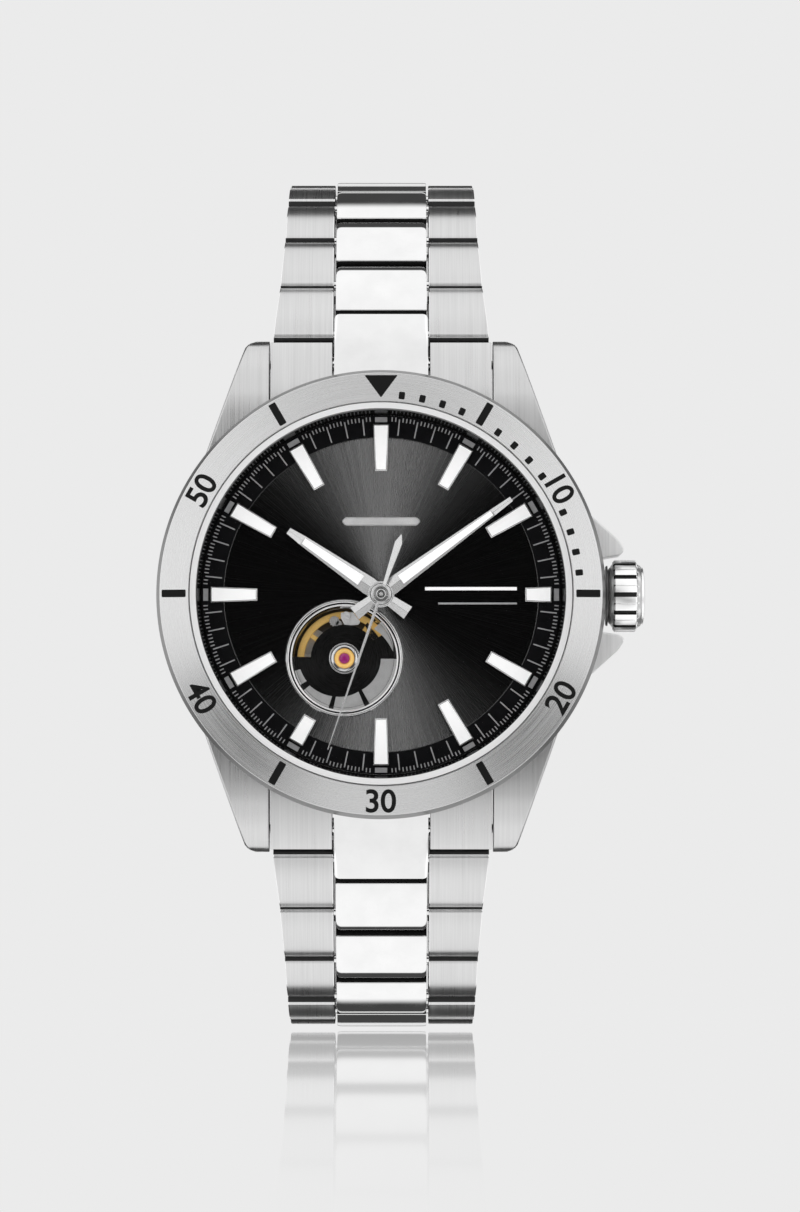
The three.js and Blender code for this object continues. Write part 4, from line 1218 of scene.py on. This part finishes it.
def crowned(start, end, height, rise, drop):
    """Points along an arched face, which rolls off towards its far end."""
    steps = 14
    points = []
    for i in range(steps + 1):
        t = i / steps
        roll = max(0.0, (t - ROLL_START) / (1 - ROLL_START))
        points.append((start + (end - start) * t, height + rise * (1 - (2 * t - 1) ** 2) - drop * roll ** 2))
    return points


def around_pin(r, pin, start, stop, steps=8):
    """An arc about a pin in (along, outwards), with 90 degrees pointing outwards."""
    angles = [start + (stop - start) * i / steps for i in range(steps + 1)]
    return [(pin + r * cos(radians(a)), r * sin(radians(a))) for a in angles]


def make_outer_row(name, sign, near, far, place, body, replaces=()):
    """An outer row: a round nose about its own pin, and a hollow end about the next one."""
    top = HALF_THICK - 0.36
    nose = sqrt(SEAM_BACK ** 2 + top ** 2)
    hollow = nose + NOSE_GAP
    far_top = top - ROLL_DROP
    end = PITCH - sqrt(hollow ** 2 - far_top ** 2)
    lean = degrees(acos(-SEAM_BACK / nose))
    far_lean = degrees(acos((end - PITCH) / hollow))
    profile = crowned(0.14 - SEAM_BACK, end, top, 0.5, ROLL_DROP)
    profile += around_pin(hollow, PITCH, far_lean, 190)[1:]
    profile += [(PITCH - 2.35, -HALF_THICK), (-1.0, -HALF_THICK)]
    profile += around_pin(nose, 0, 205, lean + 5)
    profile += [(0.03 - SEAM_BACK, top - 0.04)]
    def edge(s):
        t = min(1, max(0, (s + SEAM_BACK) / (PITCH - 0.3)))
        return near + (far - near) * t
    inner = [(sign * (CENTRE_HALF + 0.22), s, h) for s, h in profile]
    outer = [(sign * edge(s), s, h) for s, h in profile]
    bm = loft([inner, outer], 0.09, 2, 27, 1)
    # Faces in the hollow end and on the low front-facing wall take the near-black steel: painted shade in the
    # gaps between rows.
    for face in bm.faces:
        _, s, h = face.calc_center_median()
        in_hollow = s > 3 and h < far_top - 0.08 and face.normal.y > 0.2
        if in_hollow or (face.normal.y < -0.2 and h < top - 0.22):
            face.material_index = 2
    made = piece(name, bm, BRUSHED_LINK, body, place, replaces)
    made.data.materials.append(POLISHED_LINK)
    made.data.materials.append(PAINTED_SHADE)


def corner_sections(half):
    """Distances across a centre row, each with how far its rounded far corner lies back there."""
    found = []
    for a in (0, 25, 48, 68, 90):
        x = half - CORNER_R * (1 - sin(radians(a)))
        back = CORNER_R * (1 - cos(radians(a)))
        found = [(-x, back)] + found + [(x, back)]
    return found


def make_centre_row(name, place, body, last_one=False):
    """A polished centre row, which reaches forward to the next pin."""
    start, end = TONGUE_R + 0.3, PITCH + TONGUE_R
    profile = crowned(start + 0.12, end - 0.3, HALF_THICK - 0.06, 0.2, 0.3)
    last = profile[-1][1]
    profile += [(end - 0.17, last - 0.06), (end - 0.06, last - 0.18), (end, last - 0.36)]
    if last_one:
        profile = crowned(start + 0.12, PITCH - 1.6, HALF_THICK - 0.06, 0.05, 0.1)
        profile += around_pin(TONGUE_R, PITCH, 105, 12, 7)
    profile += around_pin(TONGUE_R, PITCH, 0, -90, 6) + [(start + 0.5, -TONGUE_R), (start + 0.5, -0.2)]
    profile += [(start, 0.3), (start, HALF_THICK - 0.17), (start + 0.04, HALF_THICK - 0.07)]
    across = [(-CENTRE_HALF, 0.0), (CENTRE_HALF, 0.0)] if last_one else corner_sections(CENTRE_HALF)
    bm = loft([[(x, s - back * max(0.0, s - PITCH / 2) / (end - PITCH / 2), h) for s, h in profile]
               for x, back in across], 0.09, 3, 40)
    # Low front-facing faces and the underside past the next pin take the near-black steel: painted shade in
    # the gaps.
    for face in bm.faces:
        _, s, h = face.calc_center_median()
        if (face.normal.y < -0.5 and h < HALF_THICK - 0.2) or (s > PITCH and h < last - 0.45):
            face.material_index = 1
    made = piece(name, bm, POLISHED_LINK, body, place)
    made.data.materials.append(PAINTED_SHADE)


def make_pin(name, half, place, body, replaces=()):
    """A bracelet pin, with a screwdriver slot in each end."""
    r = 0.5
    bm = turned(rounded([(0, -half), (r, -half), (r, half), (0, half)], 0.06, 2, False), steps=24)
    for sign in (1, -1):
        for side in (1, -1):
            moon = [(0.44 * cos(radians(a)), side * (0.07 + 0.37 * sin(radians(a))))
                    for a in range(0, 181, 20)]
            add_prism(bm, moon, sign * (half - 0.05), sign * (half + 0.05), "front")
    piece(name, bm, POLISHED, body, place @ ACROSS, replaces)


def pins(word):
    found = [joint_at(f"{word}_pin_{i + 1}") for i in range(LINKS)]
    last = joint_at("clasp_pin")
    if word == "lower":
        last = Vector((last.x, last.y, -last.z))
    return found + [last]


def make_bracelet():
    middle = Vector((0, 15, 0))
    for word in ("upper", "lower"):
        at = pins(word)
        for i in range(LINKS):
            node = f"{word}_link_{i + 1}"
            near = low_high(node)[1].x
            far = low_high(f"{word}_link_{i + 2}")[1].x if i + 1 < LINKS else near
            place = link_frame(at[i], at[i + 1], at[i] - middle)
            make_outer_row(f"{node}_right", 1, near, far, place, node, [node])
            make_outer_row(f"{node}_left", -1, near, far, place, node)
            make_centre_row(f"{node}_centre", place, node, i + 1 == LINKS)
            side = near + (far - near) * SEAM_BACK / PITCH
            make_pin(f"{node}_pin", side - 0.02, place, node)


def make_end_links():
    """The solid end links that fill the gap between the lugs."""
    pin = pins("upper")[0]
    root = 17.6
    corner_from = 23
    for word, sz in ENDS:
        node = f"end_link_{word}"
        half = low_high(node)[1].x
        side = [(root, -7.55), (19.5, -7.48), (21.5, -7.15), (23.3, -6.6), (24.4, -6.2), (24.95, -5.93)]
        side += [(pin.z + 2.0 * cos(radians(a)), pin.y + 2.0 * sin(radians(a))) for a in range(244, 170, -12)]
        side += [(23.4, -2.2), (19.0, -2.0), (root, -2.0)]
        for word_x, sx in SIDES:
            outline = [(sz * z, y) for z, y in side]
            low, high = sorted((sx * (CENTRE_HALF + 0.32), sx * half))
            made = piece(f"{node}_{word_x}", prism(outline, low, high, "side", 0.12, 3), BRUSHED_LINK, "case",
                         replaces=[node] if sx > 0 else ())
            cut(made, cylinder_y(END_LINK_START))
        tilt = Matrix.Rotation(radians(-17), 4, "X")
        tip = [(1.6, -HALF_THICK + 0.02), (1.6, 0)] + [
            (TONGUE_R * cos(radians(a)), TONGUE_R * sin(radians(a))) for a in range(15, 91, 15)]
        turned_tip = [tilt @ Vector((0, y, z)) + Vector((0, pin.y, pin.z)) for z, y in tip]
        centre = [(root, -7.62), (19.5, -7.55), (21.5, -7.24), (23.3, -6.76), (25.3, -6.2)]
        centre += [(v.z, v.y) for v in turned_tip] + [(22.5, -2.0), (root, -2.0)]
        outline = [(sz * z, y) for z, y in centre]
        furthest = max(abs(z) for z, y in outline)
        sections = []
        for x, back in corner_sections(CENTRE_HALF + 0.12):
            share = back / (furthest - corner_from)
            sections.append([(x, y, z - sz * share * max(0.0, abs(z) - corner_from)) for z, y in outline])
        made = piece(f"{node}_centre", loft(sections, 0.09, 2, 40), POLISHED_LINK, "case",
                     sharp=30)
        cut(made, cylinder_y(END_LINK_START))
        make_spring_bar(f"spring_bar_{word}")


def make_spring_bar(node):
    """A bar with a thinner pivot at each end."""
    low, high = low_high(node)
    reach = (high.x - low.x) / 2
    bar = rounded([(0, -reach), (0.42, -reach), (0.42, -reach + 1.1), (0.75, -reach + 1.2),
                   (0.75, reach - 1.2), (0.42, reach - 1.1), (0.42, reach), (0, reach)], 0.05, 2, False)
    piece(f"{node}_rod", turned(bar, steps=32), POLISHED, "case",
          Matrix.Translation((low + high) / 2) @ ACROSS, [node])


# ---------- clasp ----------
def clasp_arc():
    """Centre and radius of the line through the clasp's two end pins."""
    pin = joint_at("clasp_pin")
    tilt = radians(15)
    radius = pin.z / sin(tilt)
    return pin.y - radius * cos(tilt), radius


CLASP_Y, CLASP_R = clasp_arc()


def on_arc(z, r):
    return CLASP_Y + sqrt((CLASP_R + r) ** 2 - z * z)


def strip(inner, outer, start, stop, steps=24):
    """A curved strip in (z, y), between two heights over the clasp's pin line."""
    def run(r, a, b):
        return [(a + (b - a) * i / steps, on_arc(a + (b - a) * i / steps, r)) for i in range(steps + 1)]
    return run(outer, start, stop) + run(inner, stop, start)


def make_clasp():
    high = low_high("clasp_cover")[1]
    half, reach = high.x, high.z - 0.15
    bm = prism(strip(1.85, 2.65, -reach, reach, 36), -half + 0.1, half - 0.1, "side", 0.2, 3)
    piece("clasp_plate", bm, BRUSHED_LINK, "clasp_cover", replaces=["clasp_cover"])
    for word, sx in SIDES:
        edge = sorted((sx * (half - 0.85), sx * half))
        made = piece(f"clasp_flank_{word}", prism(strip(-1.25, 2.35, -reach + 0.5, reach - 0.5, 36), *edge,
                                                  "side", 0.18, 3), POLISHED, "clasp_cover")
        gap = bmesh.new()
        add_prism(gap, strip(-0.75, 0.75, -3.1, 3.1, 6), -12, 12, "side")
        cut(made, gap)
        node = f"clasp_button_{word}"
        low_b, high_b = low_high(node)
        pad = prism(strip(-0.55, 0.55, -2.85, 2.85, 10), low_b.x, high_b.x, "side", 0.18, 3)
        piece(f"{node}_pad", pad, POLISHED, node, replaces=[node])
    make_blades()


def make_blades():
    cover = joint_at("outer_blade_fold")
    fold = joint_at("inner_blade_fold")
    pin_z = -joint_at("clasp_pin").z
    half = 6.8
    knuckle_r = 0.93
    outer = prism(strip(0.45, 1.15, cover.z + 0.3, fold.z - 0.4, 28), -half, half, "side", 0.12, 3)
    piece("blade_outer_leaf", outer, BLADE_STEEL, "clasp_outer_blade",
          replaces=["clasp_outer_blade"])
    for label, at in (("cover", cover), ("fold", fold)):
        for word, sx in SIDES:
            low, high = sorted((sx * 4.15, sx * half))
            profile = rounded([(0.5, low), (knuckle_r, low), (knuckle_r, high), (0.5, high)], 0.08, 3)
            place = Matrix.Translation(at) @ ACROSS
            piece(f"blade_knuckle_{label}_{word}", turned(profile, steps=40), POLISHED, "clasp_outer_blade",
                  place)
        reach = 10.05 if label == "cover" else half
        make_pin(f"blade_pin_{label}", reach, Matrix.Translation(at), "clasp_outer_blade")
    inner = prism(strip(-1.25, -0.55, pin_z + 2.9, fold.z - 0.4, 28), -3.85, 3.85, "side", 0.12, 3)
    piece("blade_inner_leaf", inner, BLADE_STEEL, "clasp_inner_blade",
          replaces=["clasp_inner_blade"])
    knuckle = rounded([(0.58, -3.8), (0.84, -3.8), (0.84, 3.8), (0.58, 3.8)], 0.06, 3)
    piece("blade_knuckle_inner", turned(knuckle, steps=40), POLISHED, "clasp_inner_blade",
          Matrix.Translation(fold) @ ACROSS)
    foot = prism(strip(-2.05, -0.6, pin_z + 2.25, pin_z + 3.35, 4), -5.6, 5.6, "side", 0.1, 2)
    piece("blade_foot", foot, POLISHED, "clasp_inner_blade")
    for word, sx in SIDES:
        low, high = sorted((sx * 4.78, sx * 5.58))
        hook = strip(-1.85, -0.62, pin_z - 0.75, pin_z + 2.6, 6)
        piece(f"blade_hook_{word}", prism(hook, low, high, "side", 0.08, 2), POLISHED, "clasp_inner_blade")
        stop = strip(-0.8, 0.75, pin_z + 0.62, pin_z + 2.6, 4)
        piece(f"blade_stop_{word}", prism(stop, low, high, "side", 0.08, 2), POLISHED, "clasp_inner_blade")
    ends = {"clasp_spring_bar": (joint_at("clasp_pin"), "clasp_cover", 9.95),
            "clasp_foot_pin": (Vector((0, joint_at("clasp_pin").y, pin_z)), "lower_link_9", 5.5)}
    for node, (at, body, reach) in ends.items():
        make_pin(f"{node}_rod", reach, Matrix.Translation(at), body, [node])


# ---------- small hidden parts keep their CAD shape ----------
def dress_hidden():
    for node, material in (("bezel_click_spring", POLISHED), ("crystal_gasket", RUBBER),
                           ("case_back_gasket", RUBBER), ("pallet_fork", POLISHED),
                           ("hairspring", POLISHED), ("balance_cock", PLATE_GREY),
                           ("mainspring_barrel", GILT)):
        NODES[node].data.materials.clear()
        NODES[node].data.materials.append(material)


scene = bpy.context.scene
scene.view_settings.view_transform = "Standard"
scene.view_settings.look = "None"
make_camera()
make_world()
make_floor()
make_bezel()
make_crystal()
make_dial()
make_dial_mark()
make_window()
make_plate()
make_jewel()
make_balance()
make_balance_surroundings()
make_escapement()
make_hands()
make_case()
make_crown()
make_back()
make_bracelet()
make_end_links()
make_clasp()
dress_hidden()
